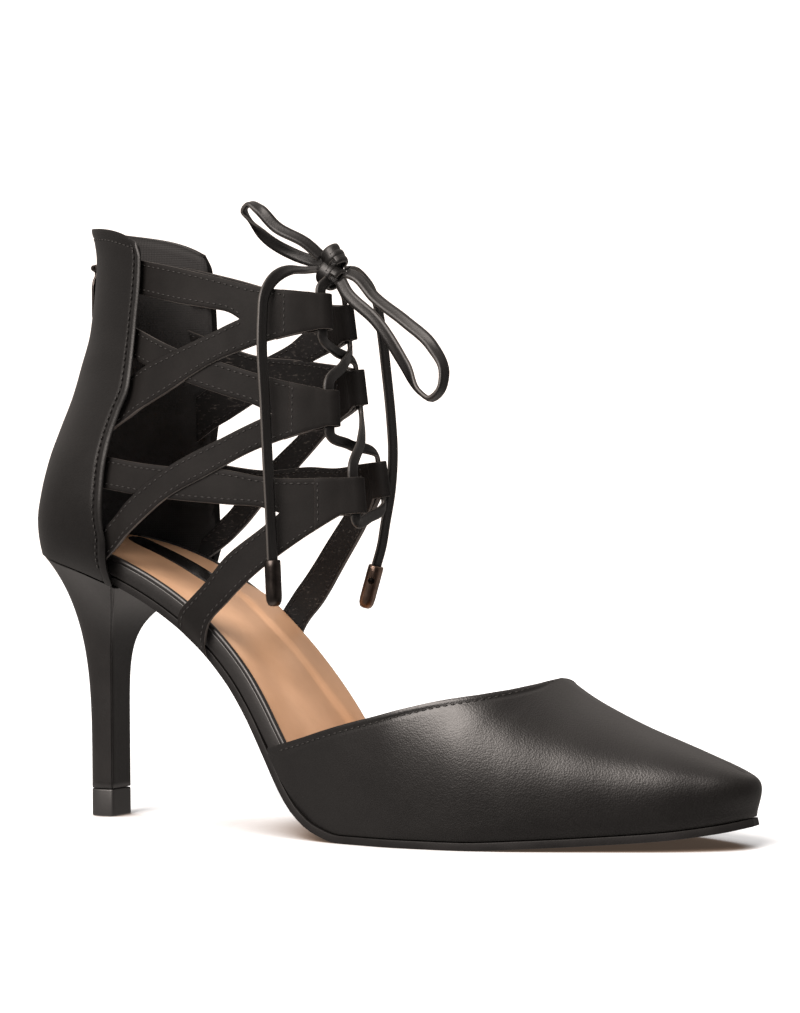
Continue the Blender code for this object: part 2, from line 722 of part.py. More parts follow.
def build_slider(finish, collection, helpers):
    """Body of the slider with two lugs and the bar between them."""
    plate = [(SLIDER_NEAR, SLIDER_LOW), (SLIDER_FAR, SLIDER_LOW)]
    plate += [(SLIDER_FAR, SLIDER_HIGH), (SLIDER_NEAR, SLIDER_HIGH)]
    slider = extruded("zip_slider", [plate], SLIDER_HALF, back_place(0), finish, collection)
    middle_x = 0.5 * (SLIDER_NEAR + SLIDER_FAR)
    lug = arc((0, 0), LUG_RADIUS, 90, 270, 6) + [(middle_x, -LUG_RADIUS), (middle_x, LUG_RADIUS)]
    bar = arc((0, 0), PULL_BAR_RADIUS, 0, 330, 11)
    pieces = [extruded("slider_bar", [bar], LUG_MIDDLE, back_place(0), finish, helpers)]
    for side in (-1, 1):
        place = back_place(side * LUG_MIDDLE)
        pieces.append(extruded("slider_lug", [lug], LUG_HALF, place, finish, helpers))
    for piece in pieces:
        boolean(slider, hide_helper(piece), "UNION")


def build_pull(finish, collection, helpers):
    """Plate with an eye that turns on the slider's bar."""
    ring = arc((0, 0), PULL_RING, 0, 330, 11), arc((0, 0), PULL_EYE, 0, 330, 11)
    pull = extruded("zip_pull", ring, PULL_RING_HALF, back_place(0), finish, collection)
    outline = PULL_SHAPE + [(-half, rise) for half, rise in reversed(PULL_SHAPE)]
    back_view = Matrix(((0, 0, 1), (1, 0, 0), (0, 1, 0))).to_4x4()
    place = Matrix.Translation(to_part((PULL_BAR_X, 0, PULL_BAR_Z))) @ back_view
    plate = extruded("pull_plate", [outline], PULL_THICK_HALF, place, finish, helpers)
    boolean(pull, hide_helper(plate), "UNION")


# Straps

def side_point(x, z, out, side):
    return x, side * oval_y(x, height_at(x, z), out), z


def split_share(path, x):
    """Share of a path at which it reaches x."""
    low, high = 0.0, 1.0
    for _ in range(40):
        middle = 0.5 * (low + high)
        if path(middle)[0] < x:
            low = middle
        else:
            high = middle
    return 0.5 * (low + high)


def fork_surface(fork, side):
    """Functions of u, v for the two legs of a forked strap and the panel that they run into."""
    fork = {**fork, **fork.get("inner", {})} if side > 0 else fork
    top, low = path_through(fork["top"]), path_through(fork["low"])
    fork_top, fork_low = path_through(fork["fork_top"]), path_through(fork["fork_low"])
    crotch = np.array(fork["fork_top"][-1], float)
    top_split, low_split = split_share(top, crotch[0]), split_share(low, crotch[0])
    over = curve_through(fork["over"], 1)
    first_x, last_x = crotch[0] - INNER_BLEND, fork["low"][-1][0]
    rise = fork["inner_rise"] if side > 0 else 0.0
    short = INNER_STRAP_SHORT if side > 0 else 0.0

    def on_form(point, out):
        x, z = point
        toward_end = smooth_step((x - first_x) / (last_x - first_x))
        return side_point(x - short * toward_end, z + rise * toward_end, out, side)

    def mix(a, b, t):
        return a + (b - a) * t

    def upper_leg(u, v):
        return on_form(mix(top(u * top_split), fork_top(u), v), STRAP_OUT)

    def lower_leg(u, v):
        return on_form(mix(fork_low(u), low(u * low_split), v), over(u))

    def panel(u, v):
        upper = top(top_split + u * (1 - top_split))
        lower = low(low_split + u * (1 - low_split))
        middle = mix(crotch, 0.5 * (top(1) + low(1)), u)
        point = mix(upper, middle, 2 * v) if v < 0.5 else mix(middle, lower, 2 * v - 1)
        return on_form(point, STRAP_OUT)

    return upper_leg, lower_leg, panel


def fork_frame(panel):
    """Middle of the panel's front end, with unit vectors along the strap, outward and up."""
    end = np.array(panel(1, 0.5))
    along = end - np.array(panel(0.9, 0.5))
    up = np.array(panel(1, 0)) - np.array(panel(1, 1))
    up /= np.linalg.norm(up)
    along -= up * np.dot(along, up)
    along /= np.linalg.norm(along)
    out = np.cross(up, along)
    if out[1] * end[1] < 0:
        out = -out
    return end, along, out, up


def build_loop(name, frame, finish, collection):
    """Folded loop at a strap's end with the tunnel for the lace, drawn along the strap and outward."""
    end, along, out, up = frame
    middle = (LOOP_REACH, LOOP_MIDDLE_OUT)
    bend = arc(middle, LOOP_OUTER, 105, -105, 10)
    outer = [(LOOP_STEM, LOOP_STEM_OUT), *bend, (LOOP_STEM, LOOP_STEM_IN)]
    hole = arc(middle, LOOP_HOLE, 0, 324, 9)
    axes = Matrix((Vector(along), Vector(out), Vector(np.cross(along, out)))).transposed().to_4x4()
    place = Matrix.Translation(to_part(end)) @ axes
    return extruded(name, (outer, hole), LOOP_HALF_HEIGHT, place, finish, collection)


def build_cage(name, side, finish, collection, helpers):
    """The straps of one side, joined where they cross, with a folded loop at each front end."""
    pieces = []
    for key, fork in STRAP_FORKS.items():
        surfaces = fork_surface(fork, side)
        bm = bmesh.new()
        for surface, grid in zip(surfaces, STRAP_GRIDS):
            mapped_grid(bm, *grid, surface, flip=side < 0)
        bmesh.ops.remove_doubles(bm, verts=bm.verts, dist=1e-5)
        owner = collection if not pieces else helpers
        strap = mesh_object(name if not pieces else name + "_" + key, bm, finish, owner)
        thicken(strap, STRAP_THICK)
        pieces.append(strap)
        pieces.append(build_loop(name + "_" + key + "_loop", fork_frame(surfaces[2]), finish, helpers))
    for piece in pieces[1:]:
        hide_helper(piece)
        boolean(pieces[0], piece, "UNION")


# Lace

def loop_tunnels():
    """Bottom and top of the lace's tunnel at each strap's end, by side and fork."""
    tunnels = {}
    for side in (-1, 1):
        for key, fork in STRAP_FORKS.items():
            end, along, out, up = fork_frame(fork_surface(fork, side)[2])
            middle = end + LOOP_REACH * along + LOOP_MIDDLE_OUT * out
            tunnels[side, key] = (middle - LOOP_HALF_HEIGHT * up, middle + LOOP_HALF_HEIGHT * up)
    return tunnels


def knot_exit(toward):
    """Point just off the knot on the way to another point."""
    way = np.array(toward, float) - KNOT
    reach = 1 / np.linalg.norm(way / np.array(KNOT_RADII))
    return np.array(KNOT) + way * (reach + KNOT_GAP / np.linalg.norm(way))


def lace_route():
    """Route of the lace from the knot down through the loops, over the bar and up to the knot again."""
    tunnels = loop_tunnels()
    down = [tunnels[-1, "upper"][::-1], tunnels[1, "middle"][::-1], tunnels[-1, "lower"][::-1]]
    rise = [tunnels[1, "lower"], tunnels[-1, "middle"], tunnels[1, "upper"]]
    shifts = [(-CROSSING_APART, 0, 0), (CROSSING_APART, 0, 0), (0, 0, -BAR_SAG)]
    shifts += [(-CROSSING_APART, 0, 0), (CROSSING_APART, 0, 0)]
    passes = down + rise
    route = [knot_exit(passes[0][0])]
    for number, (first, last) in enumerate(passes):
        way = (last - first) / np.linalg.norm(last - first)
        route += [first - LACE_STRAIGHT * way, first, 0.5 * (first + last), last, last + LACE_STRAIGHT * way]
        if number < len(shifts):
            route.append(0.5 * (last + passes[number + 1][0]) + shifts[number])
    return route + [knot_exit(passes[-1][1])]


def cord_points(route, count):
    place = path_through(route)
    return [place(k / (count - 1)) for k in range(count)]


def build_aglet(name, top, way, finish, collection):
    """Metal tip on a lace's end, from just past the cord along way."""
    way = Vector(way).normalized()
    bm = bmesh.new()
    bmesh.ops.create_cone(bm, cap_ends=True, segments=12, radius1=AGLET_RADIUS * MM,
                          radius2=AGLET_TIP_RADIUS * MM, depth=AGLET_LONG * MM)
    turn = Vector((0, 0, 1)).rotation_difference(way).to_matrix().to_4x4()
    middle = to_part(top) + way * (GAP + AGLET_LONG / 2) * MM
    bmesh.ops.transform(bm, matrix=Matrix.Translation(middle) @ turn, verts=bm.verts)
    mesh_object(name, bm, finish, collection)


def build_lace(finish, metals, collection):
    tube("lace_crossings", cord_points(lace_route(), CROSSING_POINTS), LACE_RADIUS, 2, finish, collection)
    bm = bmesh.new()
    bmesh.ops.create_uvsphere(bm, u_segments=12, v_segments=8, radius=1)
    bmesh.ops.scale(bm, vec=Vector(KNOT_RADII) * MM, verts=bm.verts)
    bmesh.ops.translate(bm, vec=to_part(KNOT), verts=bm.verts)
    mesh_object("lace_knot", bm, finish, collection)
    for hand, points in LACE_LOOPS.items():
        route = [knot_exit(points[0]), *points, knot_exit(points[-1])]
        tube("lace_loop_" + hand, cord_points(route, LOOP_POINTS), LACE_RADIUS, 2, finish, collection)
    for hand, points in LACE_ENDS.items():
        route = [knot_exit(points[0]), *points]
        tube("lace_end_" + hand, cord_points(route, END_POINTS), LACE_RADIUS, 2, finish, collection)
        way = np.array(points[-1]) - np.array(points[-2])
        build_aglet("aglet_" + hand, points[-1], way, metals[hand], collection)


def build_shoe():
    for obj in list(bpy.data.objects):
        bpy.data.objects.remove(obj)
    shoe = bpy.data.collections.new("laced_pump")
    helpers = bpy.data.collections.new("laced_pump_cutters")
    bpy.context.scene.collection.children.link(shoe)
    bpy.context.scene.collection.children.link(helpers)

    upper = material("black_upper", (0.018, 0.016, 0.016), 0.42)
    covered = material("black_cover", (0.016, 0.015, 0.015), 0.35)
    beige = material("beige_sock", (0.62, 0.42, 0.27), 0.45)
    rubber = material("black_rubber", (0.02, 0.02, 0.02), 0.6)
    tip = material("black_tip", (0.025, 0.025, 0.025), 0.5)
    tape = material("black_zip", (0.03, 0.03, 0.03), 0.5)
    metal = material("dark_metal", (0.09, 0.08, 0.07), 0.35, 1.0)
    bronze = material("bronze_metal", (0.30, 0.20, 0.15), 0.35, 1.0)
    cord = material("black_lace", (0.018, 0.016, 0.016), 0.4)

    bottom_layer("outsole", 0.0, SOLE_THICK, LAYER_BACK_X, SOLE_TIP_X, lambda x: 0.0, rubber, shoe)
    rand_tip_x, sock_tip_x = SOLE_TIP_X - RAND_SHORT, SOLE_TIP_X - SOCK_SHORT
    bottom_layer("rand", RAND_BASE, RAND_THICK, LAYER_BACK_X, rand_tip_x, rand_inset, covered, shoe)
    sock_back_x = LAYER_BACK_X + SOCK_BACK_IN
    bottom_layer("sock", SOCK_BASE, SOCK_THICK, sock_back_x, sock_tip_x, sock_inset, beige, shoe)
    build_heel(covered, tip, shoe)
    build_vamp(upper, shoe)
    build_counter(upper, shoe, helpers)
    build_zip(tape, metal, shoe, helpers)
    build_cage("straps_outer", -1, upper, shoe, helpers)
    build_cage("straps_inner", 1, upper, shoe, helpers)
    build_slider(metal, shoe, helpers)
    build_pull(metal, shoe, helpers)
    build_lace(cord, {"left": metal, "right": bronze}, shoe)


build_shoe()
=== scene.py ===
# %% [markdown]
# # A lace-up pump with a slim heel
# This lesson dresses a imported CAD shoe: the solids give every size and place, and the cells below give each
# piece its leather, thread, metal and light. The frame is loaded first, and its box is kept, because the
# dressed shoe has to stay the size of the solids.

import json
import math

import bmesh
import bpy
import numpy as np
from mathutils import Matrix, Vector
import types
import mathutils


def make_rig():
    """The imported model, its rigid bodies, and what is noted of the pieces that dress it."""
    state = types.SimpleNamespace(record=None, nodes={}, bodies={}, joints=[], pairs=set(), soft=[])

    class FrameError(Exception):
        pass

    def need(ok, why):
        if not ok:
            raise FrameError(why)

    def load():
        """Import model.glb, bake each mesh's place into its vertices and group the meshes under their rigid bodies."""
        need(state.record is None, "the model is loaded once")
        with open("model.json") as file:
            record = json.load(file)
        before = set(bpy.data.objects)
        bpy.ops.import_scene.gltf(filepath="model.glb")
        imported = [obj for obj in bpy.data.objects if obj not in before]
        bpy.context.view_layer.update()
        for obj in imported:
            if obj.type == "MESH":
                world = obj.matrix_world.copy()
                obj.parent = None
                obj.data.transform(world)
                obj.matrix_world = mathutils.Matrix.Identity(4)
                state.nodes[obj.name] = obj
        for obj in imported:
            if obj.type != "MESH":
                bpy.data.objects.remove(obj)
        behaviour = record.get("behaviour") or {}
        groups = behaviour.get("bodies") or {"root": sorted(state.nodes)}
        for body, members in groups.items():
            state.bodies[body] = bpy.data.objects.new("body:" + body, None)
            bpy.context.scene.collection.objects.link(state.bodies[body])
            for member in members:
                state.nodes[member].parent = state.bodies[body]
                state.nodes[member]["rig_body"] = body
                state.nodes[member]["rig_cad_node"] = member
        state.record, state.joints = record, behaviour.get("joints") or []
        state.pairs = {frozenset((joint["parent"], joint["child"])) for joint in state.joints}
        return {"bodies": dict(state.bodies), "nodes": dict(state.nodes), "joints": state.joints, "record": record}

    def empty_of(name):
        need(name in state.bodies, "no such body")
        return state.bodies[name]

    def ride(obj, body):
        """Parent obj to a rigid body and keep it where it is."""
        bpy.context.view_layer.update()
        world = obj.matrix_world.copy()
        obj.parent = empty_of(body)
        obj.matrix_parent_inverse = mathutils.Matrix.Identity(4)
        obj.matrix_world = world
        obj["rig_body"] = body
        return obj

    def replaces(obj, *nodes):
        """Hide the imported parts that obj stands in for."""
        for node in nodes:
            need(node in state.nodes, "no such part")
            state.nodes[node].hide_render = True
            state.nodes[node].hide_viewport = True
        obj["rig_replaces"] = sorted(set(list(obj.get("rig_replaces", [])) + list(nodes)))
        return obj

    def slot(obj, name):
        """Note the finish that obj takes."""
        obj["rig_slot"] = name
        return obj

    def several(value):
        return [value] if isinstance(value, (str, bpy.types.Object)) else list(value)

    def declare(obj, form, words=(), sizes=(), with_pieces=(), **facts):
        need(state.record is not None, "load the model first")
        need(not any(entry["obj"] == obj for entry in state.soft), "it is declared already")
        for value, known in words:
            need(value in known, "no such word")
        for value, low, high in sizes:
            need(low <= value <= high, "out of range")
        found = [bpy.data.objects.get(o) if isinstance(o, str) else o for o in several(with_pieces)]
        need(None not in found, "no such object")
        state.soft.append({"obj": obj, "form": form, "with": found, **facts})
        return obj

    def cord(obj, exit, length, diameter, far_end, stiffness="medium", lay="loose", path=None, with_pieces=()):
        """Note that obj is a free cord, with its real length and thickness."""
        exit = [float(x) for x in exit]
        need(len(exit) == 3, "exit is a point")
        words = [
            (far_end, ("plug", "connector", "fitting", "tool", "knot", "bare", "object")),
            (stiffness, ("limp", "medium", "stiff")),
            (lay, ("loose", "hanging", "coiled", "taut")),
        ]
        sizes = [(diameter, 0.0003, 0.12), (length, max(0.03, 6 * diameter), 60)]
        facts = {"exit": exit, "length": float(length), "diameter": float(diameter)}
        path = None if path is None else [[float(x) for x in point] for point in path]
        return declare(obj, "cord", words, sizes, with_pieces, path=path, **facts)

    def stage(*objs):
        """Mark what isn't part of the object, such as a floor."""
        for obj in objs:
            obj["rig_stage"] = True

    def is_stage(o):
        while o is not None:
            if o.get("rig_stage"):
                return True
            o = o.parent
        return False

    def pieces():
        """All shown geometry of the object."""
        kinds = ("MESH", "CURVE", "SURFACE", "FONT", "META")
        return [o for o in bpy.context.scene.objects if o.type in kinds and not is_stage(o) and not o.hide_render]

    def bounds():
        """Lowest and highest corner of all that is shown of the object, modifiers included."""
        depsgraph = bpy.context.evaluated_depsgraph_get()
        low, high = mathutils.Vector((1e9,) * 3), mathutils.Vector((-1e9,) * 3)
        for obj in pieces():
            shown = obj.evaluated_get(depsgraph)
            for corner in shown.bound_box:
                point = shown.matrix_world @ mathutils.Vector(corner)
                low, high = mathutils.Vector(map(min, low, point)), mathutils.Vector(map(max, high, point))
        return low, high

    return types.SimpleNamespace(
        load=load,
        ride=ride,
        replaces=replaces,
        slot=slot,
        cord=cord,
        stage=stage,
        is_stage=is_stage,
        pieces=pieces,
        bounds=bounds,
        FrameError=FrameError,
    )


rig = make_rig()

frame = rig.load()
cad_box = [list(corner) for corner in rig.bounds()]
print("CAD nodes:", sorted(frame["nodes"]))

# %% [markdown]
# ## Camera
# The photograph looks at the outer side of the shoe from a little in front, almost level with the instep.
# A camera could be aimed with a constraint, but writing its three axes down from yaw, pitch and roll keeps
# the picture exactly where the measured photograph puts it.

# %% Camera at the photograph's angle
MM = 0.001
ORIGIN_X = 125.7
PHOTO_HIGH = 1013
FOCAL_PIXELS = 2317
SENSOR = 36.0
CAMERA_PLACE = (467.9, -613.2, 84.9)
CAMERA_YAW, CAMERA_PITCH, CAMERA_ROLL = 28.69, -1.04, -0.62


def to_part(point):
    """A point in millimetres from the back of the heel as a place in the part's frame, in metres."""
    x, y, z = point
    return Vector(((x - ORIGIN_X) * MM, y * MM, z * MM))


yaw, pitch, roll = (math.radians(a) for a in (CAMERA_YAW, CAMERA_PITCH, CAMERA_ROLL))
camera_back = Vector((math.sin(yaw) * math.cos(pitch), -math.cos(yaw) * math.cos(pitch), math.sin(pitch)))
level_right = Vector((math.cos(yaw), math.sin(yaw), 0))
level_up = camera_back.cross(level_right)
camera_right = math.cos(roll) * level_right + math.sin(roll) * level_up
camera_up = -math.sin(roll) * level_right + math.cos(roll) * level_up
camera_data = bpy.data.cameras.new("photo_camera")
camera_data.sensor_width = SENSOR
camera_data.lens = FOCAL_PIXELS * SENSOR / PHOTO_HIGH
camera = bpy.data.objects.new("photo_camera", camera_data)
bpy.context.scene.collection.objects.link(camera)
camera.matrix_world = Matrix.Translation(to_part(CAMERA_PLACE)) @ Matrix(
    (camera_right, camera_up, camera_back)).transposed().to_4x4()
bpy.context.scene.camera = camera
print("camera lens", round(camera_data.lens, 2), "mm")

# %% [markdown]
# ## Curves through measured points
# A shoemaker draws a last as a few profile lines. Here each line is a short table, and two helpers run a
# smooth curve through it: one never overshoots its rows, as a paper pattern, the other follows a cord in
# space. Blender's own curve objects could do this too, but a plain function can be asked for any point.

# %% Curves
def curve_through(rows, column):
    """A smooth function of the first column through the rows, which never overshoots them."""
    xs = np.array([row[0] for row in rows], float)
    ys = np.array([row[column] for row in rows], float)
    step = np.diff(xs)
    rise = np.diff(ys) / step
    slope = np.zeros_like(ys)
    slope[0], slope[-1] = rise[0], rise[-1]
    for i in range(1, len(xs) - 1):
        if rise[i - 1] * rise[i] > 0:
            a = 2 * step[i] + step[i - 1]
            b = step[i] + 2 * step[i - 1]
            slope[i] = (a + b) / (a / rise[i - 1] + b / rise[i])

    def value(x):
        i = int(np.clip(np.searchsorted(xs, x) - 1, 0, len(step) - 1))
        t = min(1.0, max(0.0, (x - xs[i]) / step[i]))
        ends = (1 + 2 * t) * (1 - t) ** 2 * ys[i] + t * t * (3 - 2 * t) * ys[i + 1]
        return ends + step[i] * (t * (1 - t) ** 2 * slope[i] + t * t * (t - 1) * slope[i + 1])

    return value


def path_through(points):
    """A smooth path through points of any size, as a function of the share of its length, 0 to 1."""
    pts = np.array(points, float)
    chord = np.linalg.norm(np.diff(pts, axis=0), axis=1)
    at = np.concatenate([[0], np.cumsum(chord)])
    slope = np.gradient(pts, at, axis=0)

    def place(share):
        s = share * at[-1]
        i = int(np.clip(np.searchsorted(at, s) - 1, 0, len(chord) - 1))
        t = (s - at[i]) / chord[i]
        ends = (1 + 2 * t) * (1 - t) ** 2 * pts[i] + t * t * (3 - 2 * t) * pts[i + 1]
        return ends + chord[i] * (t * (1 - t) ** 2 * slope[i] + t * t * (t - 1) * slope[i + 1])

    return place


def smooth_step(t):
    t = min(1.0, max(0.0, t))
    return t * t * (3 - 2 * t)


def close_in(low, high, halvings, is_below):
    """Halve a range many times and return its two ends, round the value where is_below turns false."""
    for _ in range(halvings):
        middle = 0.5 * (low + high)
        if is_below(middle):
            low = middle
        else:
            high = middle
    return low, high


def unit(vector):
    vector = np.array(vector, float)
    return vector / np.linalg.norm(vector)


print("curve helpers ready")

# %% [markdown]
# ## Sheets, pieces and finishes
# Nearly every piece of a shoe is a sheet that was bent: so a flat grid is made with Blender's own operator
# and each of its points is moved to a place on the last. The same helper gives the sheet a UV map in
# millimetres, which a pattern can follow. A finish is a Principled shader with a few texture nodes.

# %% Sheet and piece helpers
def bent_sheet(bm, columns, rows, place, flip=False, size=(1.0, 1.0)):
    """Add a grid of columns by rows cells to bm and move each point to place(u, v), in millimetres."""
    uv = bm.loops.layers.uv.verify()
    made = bmesh.ops.create_grid(bm, x_segments=columns, y_segments=rows, size=0.5)
    faces = {face for vert in made["verts"] for face in vert.link_faces}
    for face in faces:
        for loop in face.loops:
            loop[uv].uv = ((loop.vert.co.x + 0.5) * size[0], (loop.vert.co.y + 0.5) * size[1])
    for vert in made["verts"]:
        vert.co = to_part(place(vert.co.x + 0.5, vert.co.y + 0.5))
    if flip:
        bmesh.ops.reverse_faces(bm, faces=list(faces))
    return faces


def closed_skin(bm):
    """Join a rolled grid along its seam, close its two ends and point its faces outwards."""
    bmesh.ops.remove_doubles(bm, verts=bm.verts, dist=1e-6)
    bmesh.ops.holes_fill(bm, edges=[edge for edge in bm.edges if edge.is_boundary])
    bmesh.ops.recalc_face_normals(bm, faces=bm.faces)


def add_piece(name, bm, finishes, slot, stands_for=(), body="shoe"):
    """Turn bm into a smooth piece that rides on a body and stands for CAD nodes."""
    mesh = bpy.data.meshes.new(name)
    bm.to_mesh(mesh)
    bm.free()
    mesh.shade_smooth()
    for finish in finishes:
        mesh.materials.append(finish)
    piece = bpy.data.objects.new(name, mesh)
    bpy.context.scene.collection.objects.link(piece)
    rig.ride(piece, body)
    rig.slot(piece, slot)
    if stands_for:
        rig.replaces(piece, *stands_for)
    print(name, len(mesh.polygons), "faces")
    return piece


def thicken(piece, thickness, offset=-1.0, lining=0, rim=0):
    """Give a sheet its thickness, with the inner face and the cut rim in later finishes of the piece."""
    wall = piece.modifiers.new("wall", "SOLIDIFY")
    wall.thickness = thickness * MM
    wall.offset = offset
    wall.use_even_offset = False
    wall.material_offset = lining
    wall.material_offset_rim = rim


def round_edges(piece, width, segments=2, angle=50):
    edge = piece.modifiers.new("edge", "BEVEL")
    edge.width = width * MM
    edge.segments = segments
    edge.limit_method = "ANGLE"
    edge.angle_limit = math.radians(angle)
    edge.harden_normals = False


print("sheet and piece helpers ready")

# %% Finish helpers
def new_finish(name, colour, roughness, metallic=0.0, coat=0.0, coat_roughness=0.3, specular=0.5):
    finish = bpy.data.materials.new(name)
    finish.use_nodes = True
    shader = finish.node_tree.nodes["Principled BSDF"]
    values = {"Base Color": (*colour, 1), "Roughness": roughness, "Metallic": metallic, "Coat Weight": coat,
              "Coat Roughness": coat_roughness, "Specular IOR Level": specular}
    for socket, value in values.items():
        shader.inputs[socket].default_value = value
    return finish


def add_node(tree, kind, sockets, **settings):
    """Add a shader node, with each socket given a value or the output that feeds it."""
    node = tree.nodes.new("ShaderNode" + kind)
    for key, value in settings.items():
        setattr(node, key, value)
    for socket, value in sockets.items():
        if isinstance(value, bpy.types.NodeSocket):
            tree.links.new(value, node.inputs[socket])
        else:
            node.inputs[socket].default_value = value
    return node


def coordinates(tree, kind="Object"):
    return add_node(tree, "TexCoord", {}).outputs[kind]


def add_bumps(tree, heights):
    """Chain bump nodes into the shader: each height is an output with its depth in millimetres."""
    shader = tree.nodes["Principled BSDF"]
    normal = None
    for output, depth in heights:
        sockets = {"Height": output, "Distance": depth * MM, "Strength": 1.0}
        if normal:
            sockets["Normal"] = normal
        normal = add_node(tree, "Bump", sockets).outputs["Normal"]
    tree.links.new(normal, shader.inputs["Normal"])


def vary(tree, socket, source, low, high):
    """Drive a shader socket from a 0 to 1 output, between two values."""
    spread = add_node(tree, "MapRange", {"Value": source, "To Min": low, "To Max": high})
    tree.links.new(spread.outputs["Result"], tree.nodes["Principled BSDF"].inputs[socket])


RAMP_ENDS = (0.3, 0.7)


def vary_colour(tree, source, dark, light):
    """Drive the base colour from a 0 to 1 output, between two colours."""
    ramp = add_node(tree, "ValToRGB", {"Fac": source})
    ramp.color_ramp.elements[0].color = (*dark, 1)
    ramp.color_ramp.elements[0].position = RAMP_ENDS[0]
    ramp.color_ramp.elements[1].color = (*light, 1)
    ramp.color_ramp.elements[1].position = RAMP_ENDS[1]
    tree.links.new(ramp.outputs["Color"], tree.nodes["Principled BSDF"].inputs["Base Color"])


def leather(name, dark, light, gloss, pore, pore_depth, specular=0.5):
    """Dyed leather: fine pores, soft creases, slow changes of tone and small ones of gloss."""
    finish = new_finish(name, dark, gloss[0], specular=specular)
    tree = finish.node_tree
    where = coordinates(tree)
    cloud = add_node(tree, "TexNoise", {"Vector": where, "Scale": 70, "Detail": 5, "Roughness": 0.6})
    fine = add_node(tree, "TexNoise", {"Vector": where, "Scale": 700, "Detail": 4, "Roughness": 0.65})
    pores = add_node(tree, "TexVoronoi", {"Vector": where, "Scale": 1000 / pore, "Randomness": 1.0},
                     feature="F1")
    vary_colour(tree, cloud.outputs["Fac"], dark, light)
    vary(tree, "Roughness", fine.outputs["Fac"], *gloss)
    add_bumps(tree, [(cloud.outputs["Fac"], pore_depth * 1.2), (fine.outputs["Fac"], pore_depth),
                     (pores.outputs["Distance"], pore_depth)])
    return finish


print("finish helpers ready")

# %% [markdown]
# ## Folds and stitches
# A folded edge stands up a little and the thread beside it pulls the leather down. So a second helper moves
# the points of a sheet along its own normal by a height in millimetres. A stitch is a small stretched
# icosphere of twenty faces, set along a row by its matrix: it could be a texture, but real thread catches
# the light from every side.

# %% Raised skins and sewn rows
SKIN_STEP = 0.004
STITCH_SIZE = (0.8, 0.26, 0.2)
STITCH_PITCH = 2.15
STITCH_LOOK = 0.2
FOLD_ROUND, GROOVE_WIDE = 0.7, 1.4
ROW_HALVINGS = 16


def skin(place, u, v, way=1):
    """A point of a surface with its unit normal, turned over where way is -1."""
    along = np.array(place(min(1, u + SKIN_STEP), v)) - np.array(place(max(0, u - SKIN_STEP), v))
    across = np.array(place(u, min(1, v + SKIN_STEP))) - np.array(place(u, max(0, v - SKIN_STEP)))
    normal = np.cross(along, across) * way
    return np.array(place(u, v)), normal / max(1e-9, np.linalg.norm(normal))


def raised(place, height, way=1):
    """The surface with each point moved along its normal by height(u, v)."""
    def point(u, v):
        rise = height(u, v)
        if abs(rise) < 1e-4:
            return place(u, v)
        here, normal = skin(place, u, v, way)
        return here + normal * rise

    return point


def fold_height(distance, wide, high, groove):
    """Height of a folded edge at a distance from it, with the groove that its stitches pull."""
    if distance < wide:
        return high * math.sin(math.pi * distance / wide) ** FOLD_ROUND
    if distance < wide + GROOVE_WIDE:
        return -groove * math.sin(math.pi * (distance - wide) / GROOVE_WIDE)
    return 0.0


def at_distance(line, far):
    """Share along a line of points at which it is far millimetres from its start."""
    start = np.array(line(0.0))
    return close_in(0.0, 1.0, ROW_HALVINGS,
                    lambda share: np.linalg.norm(np.array(line(share)) - start) < far)[0]


def sew(bm, row, pitch=STITCH_PITCH, size=STITCH_SIZE):
    """Set stitches along a row of points with their normals."""
    points = np.array([point for point, normal in row])
    normals = np.array([normal for point, normal in row])
    at = np.concatenate([[0], np.cumsum(np.linalg.norm(np.diff(points, axis=0), axis=1))])
    for s in np.arange(0.5 * pitch, at[-1], pitch):
        here, ahead = (np.array([np.interp(s + step, at, points[:, i]) for i in range(3)])
                       for step in (-STITCH_LOOK, STITCH_LOOK))
        out = unit([np.interp(s, at, normals[:, i]) for i in range(3)])
        way = unit(ahead - here)
        out = unit(out - way * np.dot(out, way))
        turn = Matrix((Vector(way), Vector(np.cross(out, way)), Vector(out))).transposed().to_4x4()
        place = Matrix.Translation(to_part(0.5 * (here + ahead)))
        bmesh.ops.create_icosphere(bm, subdivisions=1, radius=MM,
                                   matrix=place @ turn @ Matrix.Diagonal((*size, 1)))


def sewing_thread():
    """Waxed black thread, a little lighter than the leather and twisted."""
    finish = new_finish("sewing_thread", (0.012, 0.011, 0.0105), 0.5, specular=0.4)
    tree = finish.node_tree
    twist = add_node(tree, "TexNoise", {"Vector": coordinates(tree), "Scale": 2400, "Detail": 2})
    vary_colour(tree, twist.outputs["Fac"], (0.009, 0.008, 0.0078), (0.022, 0.020, 0.019))
    vary(tree, "Roughness", twist.outputs["Fac"], 0.4, 0.6)
    return finish


THREAD = sewing_thread()
print("stitch of", STITCH_SIZE, "mm every", STITCH_PITCH, "mm")

# %% [markdown]
# ## The lace
# The lace is a strip of leather folded and sewn to a flat cord, about 4 mm wide. It hangs free from the
# knot as two loops and two ends, so those four are declared as cords with their real lengths. A curve with a
# bevel would be round all along; a grid rolled round a path keeps the flat section and can twist as it
# hangs.

